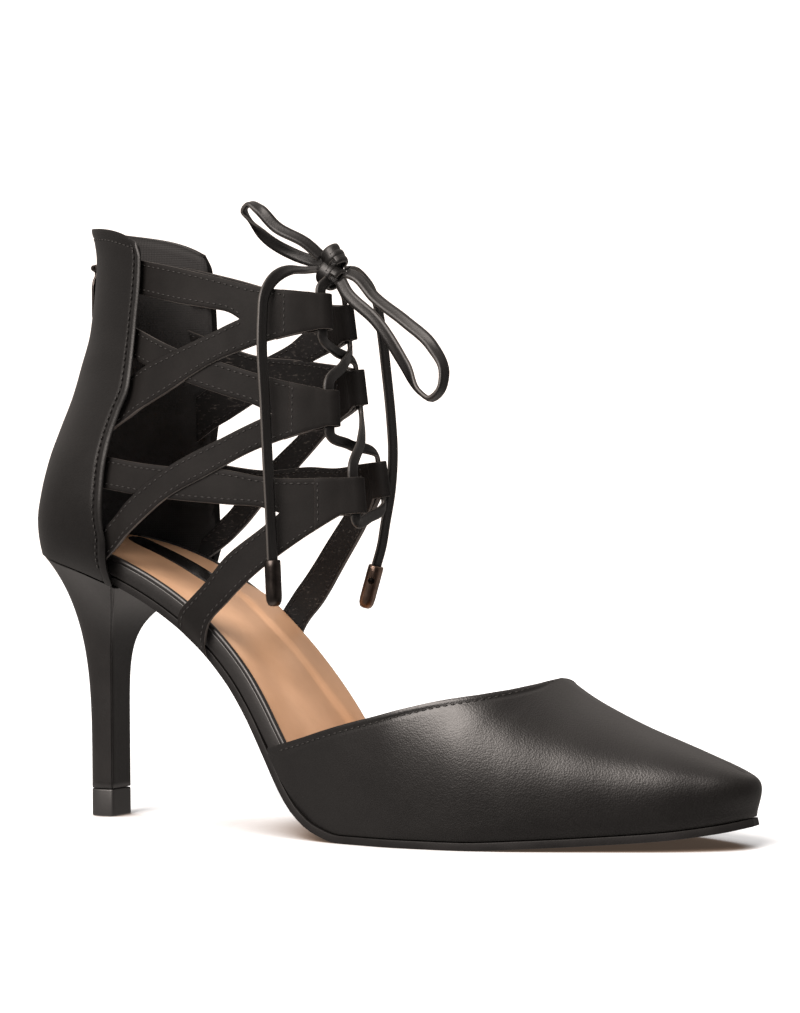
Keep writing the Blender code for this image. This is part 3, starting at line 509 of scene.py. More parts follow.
# %% Lace route from the knot
KNOT = (110.7, -1.0, 171.0)
KNOT_RADII = (4.2, 4.0, 5.2)
KNOT_GAP = 0.6
LACE_WIDE = 3.9
LACE_THICK = 1.7
LACE_GAP = 0.3
LACE_LOOPS = {
    "left": [
        (103.0, -4.5, 178.8), (94.1, -7.5, 184.2), (88.3, -8.5, 190.2), (85.0, -8.0, 192.0),
        (82.2, -7.0, 190.4), (83.0, -5.0, 187.4), (87.5, -2.5, 181.7), (96.1, 0.5, 176.2),
        (103.6, 1.2, 173.4),
    ],
    "right": [
        (117.0, -4.4, 163.0), (128.2, -6.0, 153.4), (138.9, -8.0, 139.5), (144.5, -9.0, 131.0),
        (147.9, -9.0, 129.0), (151.0, -9.0, 131.0), (152.0, -8.0, 136.5), (147.0, -6.0, 144.9),
        (136.9, -4.0, 153.0), (125.5, -2.0, 161.0), (118.4, -1.4, 168.0),
    ],
}
LACE_ENDS = {
    "left": [
        (103.7, -6.0, 170.4), (100.6, -10.5, 170.2), (98.6, -16.0, 167.4), (97.8, -20.5, 162.0),
        (98.2, -22.6, 154.8), (98.8, -24.0, 147.6), (100.5, -25.4, 129.6), (101.8, -26.2, 111.6),
        (102.8, -26.4, 93.8), (103.3, -26.4, 81.0),
    ],
    "right": [
        (114.6, 5.4, 171.2), (117.4, 8.2, 167.6), (118.8, 11.2, 160.6), (119.0, 14.0, 151.0),
        (119.2, 16.0, 140.4), (119.9, 17.6, 124.8), (119.9, 18.5, 115.5), (119.0, 18.5, 103.1),
        (117.1, 18.0, 92.2), (116.0, 17.8, 86.0), (113.9, 17.4, 78.8),
    ],
}


def knot_exit(toward):
    """Point just off the knot on the way to another point."""
    way = np.array(toward, float) - KNOT
    reach = 1 / np.linalg.norm(way / np.array(KNOT_RADII))
    return np.array(KNOT) + way * (reach + KNOT_GAP / np.linalg.norm(way))


print("knot at", KNOT)

# %% Lace leather
def lace_leather():
    """Satin black strip with its cut edges painted paler, partly their own colour and partly a painted highlight: the
    UV map is a share around, in its second value.
    """
    dark, light = (0.005, 0.0045, 0.0043), (0.009, 0.0081, 0.0077)
    finish = leather("lace_leather", dark, light, (0.36, 0.48), 0.55, 0.02, 0.4)
    tree = finish.node_tree
    around = add_node(tree, "SeparateXYZ", {"Vector": coordinates(tree, "UV")}).outputs["Y"]
    turn = add_node(tree, "Math", {0: around, 1: 2 * math.pi}, operation="MULTIPLY")
    across = add_node(tree, "Math", {0: turn.outputs["Value"]}, operation="COSINE")
    side = add_node(tree, "Math", {0: across.outputs["Value"]}, operation="ABSOLUTE")
    # the strip's two sides are painted paler: partly the cut edges' own colour, partly a painted highlight
    cut_edge_and_highlight = add_node(tree, "MapRange", {"Value": side.outputs["Value"], "From Min": 0.86, "From Max": 1.0})
    vary_colour(tree, cut_edge_and_highlight.outputs["Result"], dark, (0.045, 0.040, 0.036))
    return finish


LACE_LEATHER = lace_leather()
print("finish", LACE_LEATHER.name)

# %% One strand of lace
LACE_GROOVE, GROOVE_HALF = 0.35, 0.3
LACE_CORNER = 0.8
LOOP_STEPS, END_STEPS = 90, 110


def strand(bm, route, count, faces_to, wide=LACE_WIDE, thick=LACE_THICK, around=20):
    """Roll a grid round a route: faces_to lists shares of the way with where the flat side looks."""
    place = path_through(route)
    middles = np.array([place(k / count) for k in range(count + 1)])
    ways = np.gradient(middles, axis=0)
    look = [curve_through([(share, *way) for share, way in faces_to], axis) for axis in (1, 2, 3)]

    def strand_point(u, v):
        k = round(u * count)
        way = unit(ways[k])
        flat = np.array([axis(u) for axis in look])
        flat = unit(flat - way * np.dot(flat, way))
        side = np.cross(way, flat)
        turn = 2 * math.pi * v
        across = math.copysign(abs(math.cos(turn)) ** LACE_CORNER, math.cos(turn))
        over = math.copysign(abs(math.sin(turn)) ** LACE_CORNER, math.sin(turn))
        over *= 1 - LACE_GROOVE * math.exp(-(across / GROOVE_HALF) ** 2)
        return middles[k] + side * across * wide / 2 + flat * over * thick / 2

    long = float(np.linalg.norm(np.diff(middles, axis=0), axis=1).sum())
    bent_sheet(bm, count, around, strand_point, size=(long, 1.0))
    closed_skin(bm)
    return [to_part(point) for point in middles], long * MM


HALF_TURNED = tuple(0.7 * camera_back + 0.7 * camera_right)
LOOP_FACES = {
    # share of the loop's length, where its flat side looks: outwards at the tight tip
    "left": [(0, (0.2, -0.8, 0.7)), (0.34, (0.1, -0.85, 0.5)), (0.44, (0.0, -0.25, 1)),
             (0.49, (-0.9, -0.2, 0.4)), (0.55, (-0.7, -0.3, -0.6)), (0.66, (-0.2, -0.95, -0.2)),
             (1, (0.3, -0.8, 0.4))],
    "right": [(0, (0.2, -0.9, 0.2)), (0.34, (-0.1, -0.9, -0.2)), (0.43, (-0.6, -0.35, -0.7)),
              (0.466, (0.1, -0.2, -1)), (0.5, (0.75, -0.2, -0.6)), (0.56, (0.9, -0.4, 0.1)),
              (0.68, (0.4, -0.9, 0.3)), (1, (0.5, -0.7, 0.6))],
}
END_FACES = {
    "left": [(0, (0.0, -0.5, 0.9)), (0.25, HALF_TURNED), (1, HALF_TURNED)],
    "right": [(0, (0.3, 0.2, 0.9)), (0.3, HALF_TURNED), (1, HALF_TURNED)],
}
lace_strands = {}
for hand, points in LACE_LOOPS.items():
    bm = bmesh.new()
    route = [knot_exit(points[0]), *points, knot_exit(points[-1])]
    line, long = strand(bm, route, LOOP_STEPS, LOOP_FACES[hand])
    loop = add_piece("lace_loop_" + hand + "_cord", bm, [LACE_LEATHER], "lace", ["lace_loop_" + hand])
    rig.cord(loop, exit=line[0], length=long, diameter=LACE_WIDE * MM, far_end="object", stiffness="limp",
            lay="loose", path=line)
for hand, points in LACE_ENDS.items():
    bm = bmesh.new()
    line, long = strand(bm, [knot_exit(points[0]), *points], END_STEPS, END_FACES[hand])
    end = add_piece("lace_end_" + hand + "_cord", bm, [LACE_LEATHER], "lace", ["lace_end_" + hand])
    lace_strands[hand] = end, line, long

# %% [markdown]
# ## Aglets
# Each lace end is held in a metal tip: a straight sleeve with a rounded end, dark on the left and bronze on
# the right. Only the right one shows a small dark hole near its top. A profile spun about an axis gives the
# sleeve, and the hole is painted shade: a very dark disc that stands just proud of it, which needs no cutting.

# %% Aglets
SLEEVE_RADIUS, SLEEVE_STEPS, ROUND_SEGMENTS = 2.45, 28, 20
AGLET_PROFILE = [
    # radius, distance from the end of the lace: the sleeve's collar grips the lace above it
    (1.4, -1.2), (2.1, -1.2), (2.4, -0.9), (SLEEVE_RADIUS, 1.0), (SLEEVE_RADIUS, 9.4), (2.3, 11.0),
    (1.85, 12.1), (1.1, 12.55), (0.0, 12.6),
]
HOLE_RADIUS, HOLE_DISC, HOLE_PROUD, HOLE_AT = 1.0, 0.6, 0.06, 3.9
HOLE_WAY = (0.35, -0.94, 0.0)


def brushed_metal(name, dark, light, gloss):
    """Plated metal with fine lengthwise scratches and a few worn, brighter clouds."""
    finish = new_finish(name, dark, gloss[0], metallic=1.0)
    tree = finish.node_tree
    where = add_node(tree, "Mapping", {"Vector": coordinates(tree), "Scale": (1.0, 1.0, 0.08)})
    streaks = add_node(tree, "TexNoise", {"Vector": where.outputs["Vector"], "Scale": 3000, "Detail": 3})
    cloud = add_node(tree, "TexNoise", {"Vector": coordinates(tree), "Scale": 260, "Detail": 3})
    vary_colour(tree, cloud.outputs["Fac"], dark, light)
    vary(tree, "Roughness", streaks.outputs["Fac"], *gloss)
    add_bumps(tree, [(streaks.outputs["Fac"], 0.006)])
    return finish


DARK_METAL = brushed_metal("dark_metal", (0.035, 0.030, 0.028), (0.075, 0.064, 0.058), (0.28, 0.46))
BRONZE = brushed_metal("bronze_metal", (0.17, 0.118, 0.092), (0.30, 0.215, 0.175), (0.26, 0.42))


def cylinder(bm, radius, long, place):
    """Add a closed cylinder, in millimetres, set by its matrix."""
    bmesh.ops.create_cone(bm, cap_ends=True, segments=ROUND_SEGMENTS, radius1=radius * MM,
                          radius2=radius * MM, depth=long * MM, matrix=place)


def aglet(hand, finish):
    """Spin the sleeve and set it on the end of a lace."""
    top, last = (np.array(p, float) for p in (LACE_ENDS[hand][-1], LACE_ENDS[hand][-2]))
    way = Vector(top - last).normalized()
    bm = bmesh.new()
    points = [bm.verts.new((radius * MM, 0, -depth * MM)) for radius, depth in AGLET_PROFILE]
    profile = [bm.edges.new(pair) for pair in zip(points, points[1:])]
    bmesh.ops.spin(bm, geom=points + profile, axis=(0, 0, 1), cent=(0, 0, 0), angle=2 * math.pi,
                   steps=SLEEVE_STEPS, use_merge=True)
    bmesh.ops.remove_doubles(bm, verts=bm.verts, dist=1e-6)
    bmesh.ops.recalc_face_normals(bm, faces=bm.faces)
    turn = Vector((0, 0, -1)).rotation_difference(way).to_matrix().to_4x4()
    place = Matrix.Translation(to_part(top + np.array(way) * LACE_GAP))
    bmesh.ops.transform(bm, matrix=place @ turn, verts=bm.verts)
    return add_piece("aglet_" + hand + "_tip", bm, [finish], "dark_metal" if hand == "left" else "bronze",
                     ["aglet_" + hand])


def aglet_hole(hand):
    """Painted shade of a hole in the side of a sleeve, as a dark disc."""
    top, last = (np.array(p, float) for p in (LACE_ENDS[hand][-1], LACE_ENDS[hand][-2]))
    way = unit(top - last)
    out = unit(HOLE_WAY - way * np.dot(HOLE_WAY, way))
    middle = top + HOLE_AT * way + (SLEEVE_RADIUS + HOLE_PROUD - 0.5 * HOLE_DISC) * out
    turn = Vector((0, 0, 1)).rotation_difference(Vector(out)).to_matrix().to_4x4()
    bm = bmesh.new()
    cylinder(bm, HOLE_RADIUS, HOLE_DISC, Matrix.Translation(to_part(middle)) @ turn)
    return add_piece("aglet_" + hand + "_hole", bm, [HOLE_PAINTED_SHADE], "dark_metal")


# painted shade: a very dark disc stands in for the shade inside the hole
HOLE_PAINTED_SHADE = brushed_metal("hole_metal", (0.008, 0.007, 0.0065), (0.018, 0.016, 0.015), (0.45, 0.6))
aglet_holes = {"left": [], "right": [aglet_hole("right")]}
for hand, finish in (("left", DARK_METAL), ("right", BRONZE)):
    tip = aglet(hand, finish)
    piece, line, long = lace_strands[hand]
    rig.cord(piece, exit=line[0], length=long, diameter=LACE_WIDE * MM, far_end="fitting", stiffness="limp",
            lay="hanging", path=line, with_pieces=[tip, *aglet_holes[hand]])

# %% [markdown]
# ## The last
# A last is the form a shoe is pulled over. Its lines are the sole's side view and plan, and an oval for each
# height of the ankle. The sole, the upper and the straps are all bent on these few tables.

# %% Tables of the last
GAP = 0.3
SOLE_THICK = 2.2
RAND_THICK = 4.5
SOCK_THICK = 0.8
RAND_BASE = SOLE_THICK + GAP
SOCK_BASE = RAND_BASE + RAND_THICK + GAP
LAYER_BACK_X = 10.6
NOSE_START_X = 215.0
SOLE_TIP_X = 243.7
NOSE_POWER = 2.6
BACK_POWER = 2.3
BOARD_IN, BOARD_IN_MORE, BOARD_IN_FROM, BOARD_IN_LONG = 0.3, 2.5, 94, 20
HEEL_SEAT_Z = 86.0
LEVEL_HEIGHT = 60.0
LEVEL_RANGE, LEVEL_HALVINGS = (-10.0, 130.0), 26
SOLE_LINE = [
    # x, z
    (2, 86.0), (14, 83.8), (26, 80.8), (37, 77.4), (47, 73.4), (57, 68.2), (67, 61.6),
    (76.5, 53.4), (84, 45.6), (92, 35.6), (100, 23.6), (106, 14.4), (112, 7.4), (120, 2.4),
    (130, 0), (168, 0), (187, 0.8), (206, 1.9), (222, 3.1), (236, 5.0), (245, 6.9),
]
SOLE_PLAN = [
    # x, half width, middle line
    (3, 25.0, 0.0), (20, 25.4, 0.0), (46, 25.4, 0.0), (57, 24.9, 0.0), (67, 24.2, 0.0),
    (76, 23.6, 0.0), (84, 24.0, 0.0), (92, 25.2, -0.4), (100, 27.0, -0.9), (110, 29.6, -1.2),
    (120, 32.0, -1.2), (135, 35.0, -0.7), (150, 36.8, -0.2), (165, 36.4, 0.5),
    (180, 33.6, 1.2), (195, 28.8, 1.9), (210, 22.9, 2.3), (222, 18.0, 2.4), (232, 14.4, 2.5),
    (245, 11.6, 2.6),
]
ANKLE = [
    # height, back x, widest x, front x, half width, roundness of the back
    (0, 12.0, 46, 132, 24.0, 3.0), (6, 11.4, 46, 132, 27.2, 2.8), (12, 11.3, 47, 132, 28.8, 2.7),
    (19, 11.8, 48, 132, 29.2, 2.5), (30, 13.3, 52, 130.5, 27.8, 2.3),
    (39, 15.7, 56.5, 126.5, 25.8, 2.15), (49, 19.3, 62, 119.5, 23.7, 2.05),
    (57, 21.5, 66, 116.5, 22.3, 2.0), (70, 25.4, 69, 114, 20.5, 2.0),
    (92, 27.4, 69, 112.5, 17.6, 2.0), (104, 25.2, 68, 112, 16.8, 2.0),
]
sole_z = curve_through(SOLE_LINE, 1)
plan_half = curve_through(SOLE_PLAN, 1)
plan_middle = curve_through(SOLE_PLAN, 2)
ankle_back, ankle_widest, ankle_front = (curve_through(ANKLE, column) for column in (1, 2, 3))
ankle_half, ankle_round = (curve_through(ANKLE, column) for column in (4, 5))
print("sole from", LAYER_BACK_X, "to", SOLE_TIP_X, "mm")

# %% Points on the last
def sole_normal(x):
    """Unit vector square to the sole line in side view, pointing up."""
    slope = sole_z(x + 0.5) - sole_z(x - 0.5)
    length = math.hypot(1, slope)
    return -slope / length, 1 / length


def sole_half(x, back, tip):
    """Half width of a bottom layer that starts at back and ends at tip, both rounded off."""
    half = plan_half(x)
    round_from = back + half
    if x < round_from:
        half *= math.sqrt(max(0.0, 1 - ((round_from - x) / (round_from - back)) ** BACK_POWER))
    if x > NOSE_START_X:
        share = (x - NOSE_START_X) / (tip - NOSE_START_X)
        half *= math.sqrt(max(0.0, 1 - share ** NOSE_POWER))
    return half


def rand_inset(x):
    """How far the covered board stays inside the outsole's edge."""
    return BOARD_IN + BOARD_IN_MORE * smooth_step((x - BOARD_IN_FROM) / BOARD_IN_LONG)


def level_z(x, height):
    """z of a point of the ankle oval: low levels follow the sole line, high ones are flat."""
    flat = smooth_step(height / LEVEL_HEIGHT)
    return sole_z(x) * (1 - flat) + HEEL_SEAT_Z * flat + height


def height_at(x, z):
    """Height over the sole line of the level that passes through x, z."""
    low, high = close_in(*LEVEL_RANGE, LEVEL_HALVINGS, lambda height: level_z(x, height) < z)
    return 0.5 * (low + high)


def oval_y(x, height, out):
    """Half width at x of the ankle oval grown by out."""
    widest = ankle_widest(height)
    half = ankle_half(height) + out
    if x < widest:
        reach, power = widest - ankle_back(height) + out, ankle_round(height)
    else:
        reach, power = ankle_front(height) + out - widest, 2.0
    share = min(1.0, abs(x - widest) / reach)
    return half * (1 - share ** power) ** (1 / power)


def oval_point(turn, height, out):
    """Point of the oval grown by out: turn is 0 at the back, 1 at the widest place, negative outside."""
    widest = ankle_widest(height)
    half = ankle_half(height) + out
    power = ankle_round(height)
    angle = abs(turn) * math.pi / 2
    x = widest - (widest - ankle_back(height) + out) * math.cos(angle) ** (2 / power)
    y = math.copysign(half * math.sin(angle) ** (2 / power), turn)
    return x, y, level_z(x, height)


def turn_at(x, height, out):
    """The turn at which the back of the oval reaches x."""
    widest = ankle_widest(height)
    share = (widest - x) / (widest - ankle_back(height) + out)
    return math.acos(min(1.0, max(0.0, share)) ** (ankle_round(height) / 2)) / (math.pi / 2)


print("heel seat", round(sole_z(20), 1), "mm above the floor")

# %% [markdown]
# ## Bottom of the shoe
# Under the foot lie three sheets: a thin rubber outsole, a board covered in black leather whose edge shows
# along the waist, and a soft beige sock. Each is one grid bent on the sole line and thickened. A bevel then
# rounds its edge, as leather does where it turns under a board.

# %% Bottom sheets
LAYER_LEAST_HALF = 0.8
LAYER_END_STATION = 0.004
EVEN_STATIONS = 0.35
LAYER_CELLS = (120, 12)
BOARD_TIP_X = SOLE_TIP_X - 3.6


def layer_x(back, tip, share):
    """x along a bottom sheet, with the stations closer at its round ends but wide enough for a bevel."""
    turn = LAYER_END_STATION + (1 - 2 * LAYER_END_STATION) * share
    eased = 0.5 * (1 - math.cos(math.pi * turn))
    return back + (tip - back) * (eased + (turn - eased) * EVEN_STATIONS)


def bottom_point(u, v, base, back, tip, inset):
    x = layer_x(back, tip, u)
    half = max(LAYER_LEAST_HALF, sole_half(x, back - inset(x), tip + inset(x)) - inset(x))
    nx, nz = sole_normal(x)
    return x + base * nx, plan_middle(x) + (2 * v - 1) * half, sole_z(x) + base * nz


def no_inset(x):
    return 0.0


def sole_rubber(name, specular):
    """Matt black rubber with a fine moulded grit."""
    finish = new_finish(name, (0.006, 0.0055, 0.0055), 0.5, specular=specular)
    tree = finish.node_tree
    where = coordinates(tree)
    grit = add_node(tree, "TexNoise", {"Vector": where, "Scale": 2600, "Detail": 3})
    cloud = add_node(tree, "TexNoise", {"Vector": where, "Scale": 90, "Detail": 4})
    vary_colour(tree, cloud.outputs["Fac"], (0.005, 0.0046, 0.0045), (0.010, 0.009, 0.0088))
    vary(tree, "Roughness", cloud.outputs["Fac"], 0.42, 0.6)
    add_bumps(tree, [(grit.outputs["Fac"], 0.03)])
    return finish


COVER_TONES = (0.006, 0.0054, 0.0052), (0.010, 0.009, 0.0086)
COVER_LEATHER = leather("cover_leather", *COVER_TONES, (0.34, 0.46), 0.5, 0.012, 0.6)
bm = bmesh.new()
bent_sheet(bm, *LAYER_CELLS, lambda u, v: bottom_point(u, v, 0.0, LAYER_BACK_X, SOLE_TIP_X, no_inset))
outsole = add_piece("outsole_sheet", bm, [sole_rubber("sole_rubber", 0.25)], "sole", ["outsole"])
thicken(outsole, SOLE_THICK, offset=1.0)
round_edges(outsole, 1.0, 4)
bm = bmesh.new()
bent_sheet(bm, *LAYER_CELLS,
           lambda u, v: bottom_point(u, v, RAND_BASE, LAYER_BACK_X, BOARD_TIP_X, rand_inset))
board = add_piece("rand_sheet", bm, [COVER_LEATHER], "cover", ["rand"])
thicken(board, RAND_THICK, offset=1.0)
round_edges(board, 0.8, 3)

# %% [markdown]
# ## Sock and its bead
# The sock is satin over thin foam. It has a long soft crease down its far side, where the foam is stepped,
# and one shallow hollow under the arch. A height over the sheet draws them, because a crease this long
# should shade from every side. A plain black strip lies at the heel. A thin piped bead covers the sock's
# edge: it is a strand rolled round a route, as the lace is.

# %% Sock
SOCK_IN = 1.0
SOCK_CELLS, STRIP_CELLS = (140, 40), (40, 6)
SOCK_BACK_X, SOCK_TIP_X = LAYER_BACK_X + 2.5, SOLE_TIP_X - 7
SOCK_CREASE = [
    # x, y of the crease
    (40, 12.0), (60, 11.2), (68, 10.6), (75, 9.3), (81, 9.4), (87, 10.4), (97, 11.7),
    (105, 15.4), (125, 19.0),
]
CREASE_HIGH, CREASE_LONG = 1.1, 2.6
CREASE_FROM, CREASE_FADE = 60, 12
HOLLOW_DEEP, HOLLOW_AT, HOLLOW_HALF = 0.8, (86.0, -9.0), (13.0, 7.0)
STRIP_FROM, STRIP_TO, STRIP_HALF, STRIP_HIGH, STRIP_SQUARE = 22.0, 60.0, 5.5, 0.25, 8
STRIP_MIDDLE = [
    # x, y of the strip's middle
    (22, 14.0), (34, 8.5), (45, 6.3), (60, 5.0),
]
strip_middle = curve_through(STRIP_MIDDLE, 1)
sock_crease = curve_through(SOCK_CREASE, 1)


def sock_satin():
    """Warm beige satin, with slow clouds of tone and a fine even weave."""
    finish = new_finish("sock_satin", (0.66, 0.40, 0.25), 0.42, specular=0.4)
    tree = finish.node_tree
    where = coordinates(tree)
    cloud = add_node(tree, "TexNoise", {"Vector": where, "Scale": 38, "Detail": 4})
    fine = add_node(tree, "TexNoise", {"Vector": where, "Scale": 900, "Detail": 3})
    vary_colour(tree, cloud.outputs["Fac"], (0.62, 0.355, 0.20), (0.80, 0.495, 0.305))
    vary(tree, "Roughness", cloud.outputs["Fac"], 0.34, 0.5)
    add_bumps(tree, [(cloud.outputs["Fac"], 0.3), (fine.outputs["Fac"], 0.012)])
    return finish


def sock_inset(x):
    return rand_inset(x) + SOCK_IN


def sock_place(u, v):
    return bottom_point(u, v, SOCK_BASE, SOCK_BACK_X, SOCK_TIP_X, sock_inset)


def sock_height(u, v):
    """Step up at the crease, and the hollow under the arch."""
    x, y, z = sock_place(u, v)
    past = y - sock_crease(x)
    step = smooth_step(past / CREASE_LONG + 0.5)
    crease = CREASE_HIGH * step * smooth_step((x - CREASE_FROM) / CREASE_FADE)
    away = [(value - middle) / half for value, middle, half in zip((x, y), HOLLOW_AT, HOLLOW_HALF)]
    return crease - HOLLOW_DEEP * math.exp(-away[0] ** 2 - away[1] ** 2)


bm = bmesh.new()
bent_sheet(bm, *SOCK_CELLS, raised(sock_place, sock_height))
sock = add_piece("sock_sheet", bm, [sock_satin()], "sock", ["sock"])
thicken(sock, SOCK_THICK, offset=1.0)
round_edges(sock, 0.3, 2)

# %% Strip on the sock
def strip_place(u, v):
    """Point of the plain strip at the heel, just over the sock."""
    x = STRIP_FROM + u * (STRIP_TO - STRIP_FROM)
    half = STRIP_HALF * (1 - (2 * u - 1) ** STRIP_SQUARE) ** 0.5
    nx, nz = sole_normal(x)
    base = SOCK_BASE + SOCK_THICK + STRIP_HIGH
    return x + base * nx, strip_middle(x) + (2 * v - 1) * half, sole_z(x) + base * nz


bm = bmesh.new()
bent_sheet(bm, *STRIP_CELLS, strip_place)
STRIP_LEATHER = leather("strip_leather", *COVER_TONES, (0.2, 0.3), 0.5, 0.006)
strip = add_piece("sock_strip", bm, [STRIP_LEATHER], "cover")
thicken(strip, STRIP_HIGH)

# %% Bead at the sock's edge
BEAD_WIDE, BEAD_IN, BEAD_RISE = 1.9, 0.75, 0.35
BEAD_FROM, BEAD_TO, BEAD_STEP = 20, 142, 6
BEAD_STEPS, BEAD_AROUND = 80, 10


def bead_point(x, side):
    nx, nz = sole_normal(x)
    base = SOCK_BASE + BEAD_RISE
    half = sole_half(x, LAYER_BACK_X, SOLE_TIP_X) - rand_inset(x) - BEAD_IN
    return x + base * nx, plan_middle(x) + side * half, sole_z(x) + base * nz


bm = bmesh.new()
for side in (-1, 1):
    route = [bead_point(x, side) for x in range(BEAD_FROM, BEAD_TO, BEAD_STEP)]
    strand(bm, route, BEAD_STEPS, [(0, (0, 0, 1)), (1, (0, 0, 1))], BEAD_WIDE, BEAD_WIDE, BEAD_AROUND)
add_piece("sock_bead", bm, [COVER_LEATHER], "cover")

# %% [markdown]
# ## Heel
# The heel is a slim stem covered in leather that flares into the seat, on a hard tip. Its outline is round
# at the back and flat at the breast, so a grid wrapped round that outline and lifted from the tip to the
# seat gives the whole skin, as the leather cover is pulled on. The cover's glued seam runs down each breast
# corner: it is thinner than a grid cell, so a bump along the UV map sinks it.

# %% Heel outline
HEEL_TIP_RISE = 8.7
HEEL_STEM_X = 23.9
HEEL_STEM_LONG = 5.2
HEEL_STEM_HALF = 5.5
SEAT_BACK_X = 8.0
SEAT_ROUND, SEAT_OVER = 0.8, 1.6
BREAST_X = 46.0
FLARE_BACK = 3.4
FLARE_BREAST = 8.0
SEAT_CORNER, SEAT_SQUARE = 0.242, 6
HEEL_RISE_EASE = 1.5
SEAM_TURN, SEAM_HALF, SEAM_DEEP = 0.135, 0.006, 0.35
HEEL_CELLS, TIP_CELLS = (72, 48), (72, 1)
BREAST_HALF_OUTLINE = [
    # along and across, as shares of the half lengths
    (1, 0.0), (1, 0.45), (1, 0.78), (0.985, 0.88), (0.92, 0.945), (0.72, 0.98), (0.45, 1.0),
]
BACK_HALF_OUTLINE = [(-math.cos(math.radians(a)), math.sin(math.radians(a))) for a in range(84, -1, -12)]
half_outline = BREAST_HALF_OUTLINE + BACK_HALF_OUTLINE
heel_outline = path_through(half_outline + [(along, -across) for along, across in half_outline[-2::-1]])


def heel_point(turn, rise):
    """Point of the heel's skin at a share of the way round its outline and of its rise to the seat."""
    along, across = heel_outline(turn)
    stem_x = HEEL_STEM_X + HEEL_STEM_LONG * along
    seat_x = 0.5 * (BREAST_X + SEAT_BACK_X) + 0.5 * (BREAST_X - SEAT_BACK_X) * along
    seat_half = sole_half(seat_x, SEAT_BACK_X - SEAT_ROUND, SOLE_TIP_X) + SEAT_OVER
    side = abs(across) / SEAT_CORNER
    seat_y = math.copysign(seat_half * side / (1 + side ** SEAT_SQUARE) ** (1 / SEAT_SQUARE), across)
    flare = rise ** (FLARE_BACK + (FLARE_BREAST - FLARE_BACK) * 0.5 * (1 + along))
    x = stem_x + (seat_x - stem_x) * flare
    y = HEEL_STEM_HALF * across + (seat_y - HEEL_STEM_HALF * across) * flare
    base = HEEL_TIP_RISE + GAP
    return x, y, base + (sole_z(seat_x) - GAP - base) * rise


print("heel outline through", len(half_outline), "points a side")

# %% Heel and tip
def heel_leather():
    """Cover leather with a sunk seam at a share of the way round, on both sides."""
    finish = leather("heel_leather", *COVER_TONES, (0.36, 0.46), 0.5, 0.012, 0.4)
    tree = finish.node_tree
    turn = add_node(tree, "SeparateXYZ", {"Vector": coordinates(tree, "UV")}).outputs["X"]
    folded = add_node(tree, "Math", {0: turn, 1: 0.5}, operation="SUBTRACT")
    side = add_node(tree, "Math", {0: folded.outputs["Value"]}, operation="ABSOLUTE")
    off = add_node(tree, "Math", {0: side.outputs["Value"], 1: 0.5 - SEAM_TURN}, operation="SUBTRACT")
    away = add_node(tree, "Math", {0: off.outputs["Value"]}, operation="ABSOLUTE")
    seam_range = {"Value": away.outputs["Value"], "From Min": 0.0, "From Max": SEAM_HALF}
    seam = add_node(tree, "MapRange", seam_range, interpolation_type="SMOOTHSTEP")
    grain = tree.nodes["Principled BSDF"].inputs["Normal"].links[0].from_socket
    sunk = add_node(tree, "Bump", {"Height": seam.outputs["Result"], "Distance": SEAM_DEEP * MM,
                                   "Normal": grain})
    tree.links.new(sunk.outputs["Normal"], tree.nodes["Principled BSDF"].inputs["Normal"])
    return finish


def tip_point(turn, rise):
    along, across = heel_outline(turn)
    return HEEL_STEM_X + HEEL_STEM_LONG * along, HEEL_STEM_HALF * across, HEEL_TIP_RISE * rise


bm = bmesh.new()
bent_sheet(bm, *HEEL_CELLS, lambda u, v: heel_point(u, 1 - (1 - v) ** HEEL_RISE_EASE))
closed_skin(bm)
add_piece("heel_cover", bm, [heel_leather()], "cover", ["heel"])
bm = bmesh.new()
bent_sheet(bm, *TIP_CELLS, tip_point)
closed_skin(bm)
heel_tip = add_piece("heel_tip_block", bm, [sole_rubber("tip_rubber", 0.9)], "tip", ["heel_tip"])
round_edges(heel_tip, 0.5, 3)

# %% [markdown]
# ## Vamp
# The vamp is the closed toe: one piece of smooth leather pulled over the last and folded in at its top edge,
# with a row of stitches just below the fold. Two grids, one for each side, meet on the ridge. The rows are
# closer together at the top edge, so the fold and the sunk stitch line are real shape.

# %% Vamp tables
VAMP_WALL = 1.4
THROAT_X = 184.5
WING_X = 100.5
VAMP_BULGE = 1.7
NOSE_BULGE = 0.7
INNER_TOPLINE_DROP = 3.0
VAMP_RIDGE = [
    # x, z
    (96, 80), (130, 75), (150, 68.5), (165, 61.5), (176, 53.8), (184.5, 46.8), (191.7, 42.0),
    (201, 37.2), (210, 33.2), (219.4, 29.6), (228.4, 26.0), (237.3, 22.2), (241.7, 19.6),
]
VAMP_TOPLINE = [
    # x, z
    (96, 24.6), (100, 25.7), (109, 28.0), (130, 34.0), (142, 37.0), (152, 39.6), (163, 42.0),
    (172, 43.4), (180, 45.0), (183.4, 46.2), (184.5, 46.8),
]
VAMP_ARCH = [
    # x, squareness of the section at its ridge and at its walls
    (96, 2.6, 2.6), (150, 2.2, 2.6), (186, 1.6, 2.9), (205, 1.65, 3.0), (225, 1.8, 3.0), (244, 1.9, 2.8),
]
ridge_z = curve_through(VAMP_RIDGE, 1)
topline_z = curve_through(VAMP_TOPLINE, 1)
ridge_power = curve_through(VAMP_ARCH, 1)
wall_power = curve_through(VAMP_ARCH, 2)
WING_SHARE, CONE_SHARE, WING_EASE = 0.5, 0.78, 1.7
CROWN_LONG, ROW_EASE = 120, 1.8
RIDGE_END_X, FEATHER_END_X = 239.5, SOLE_TIP_X - 0.1
FEATHER_OUT, NOSE_FADE = 1.9, 6.0
print("vamp from", WING_X, "to", RIDGE_END_X, "mm")

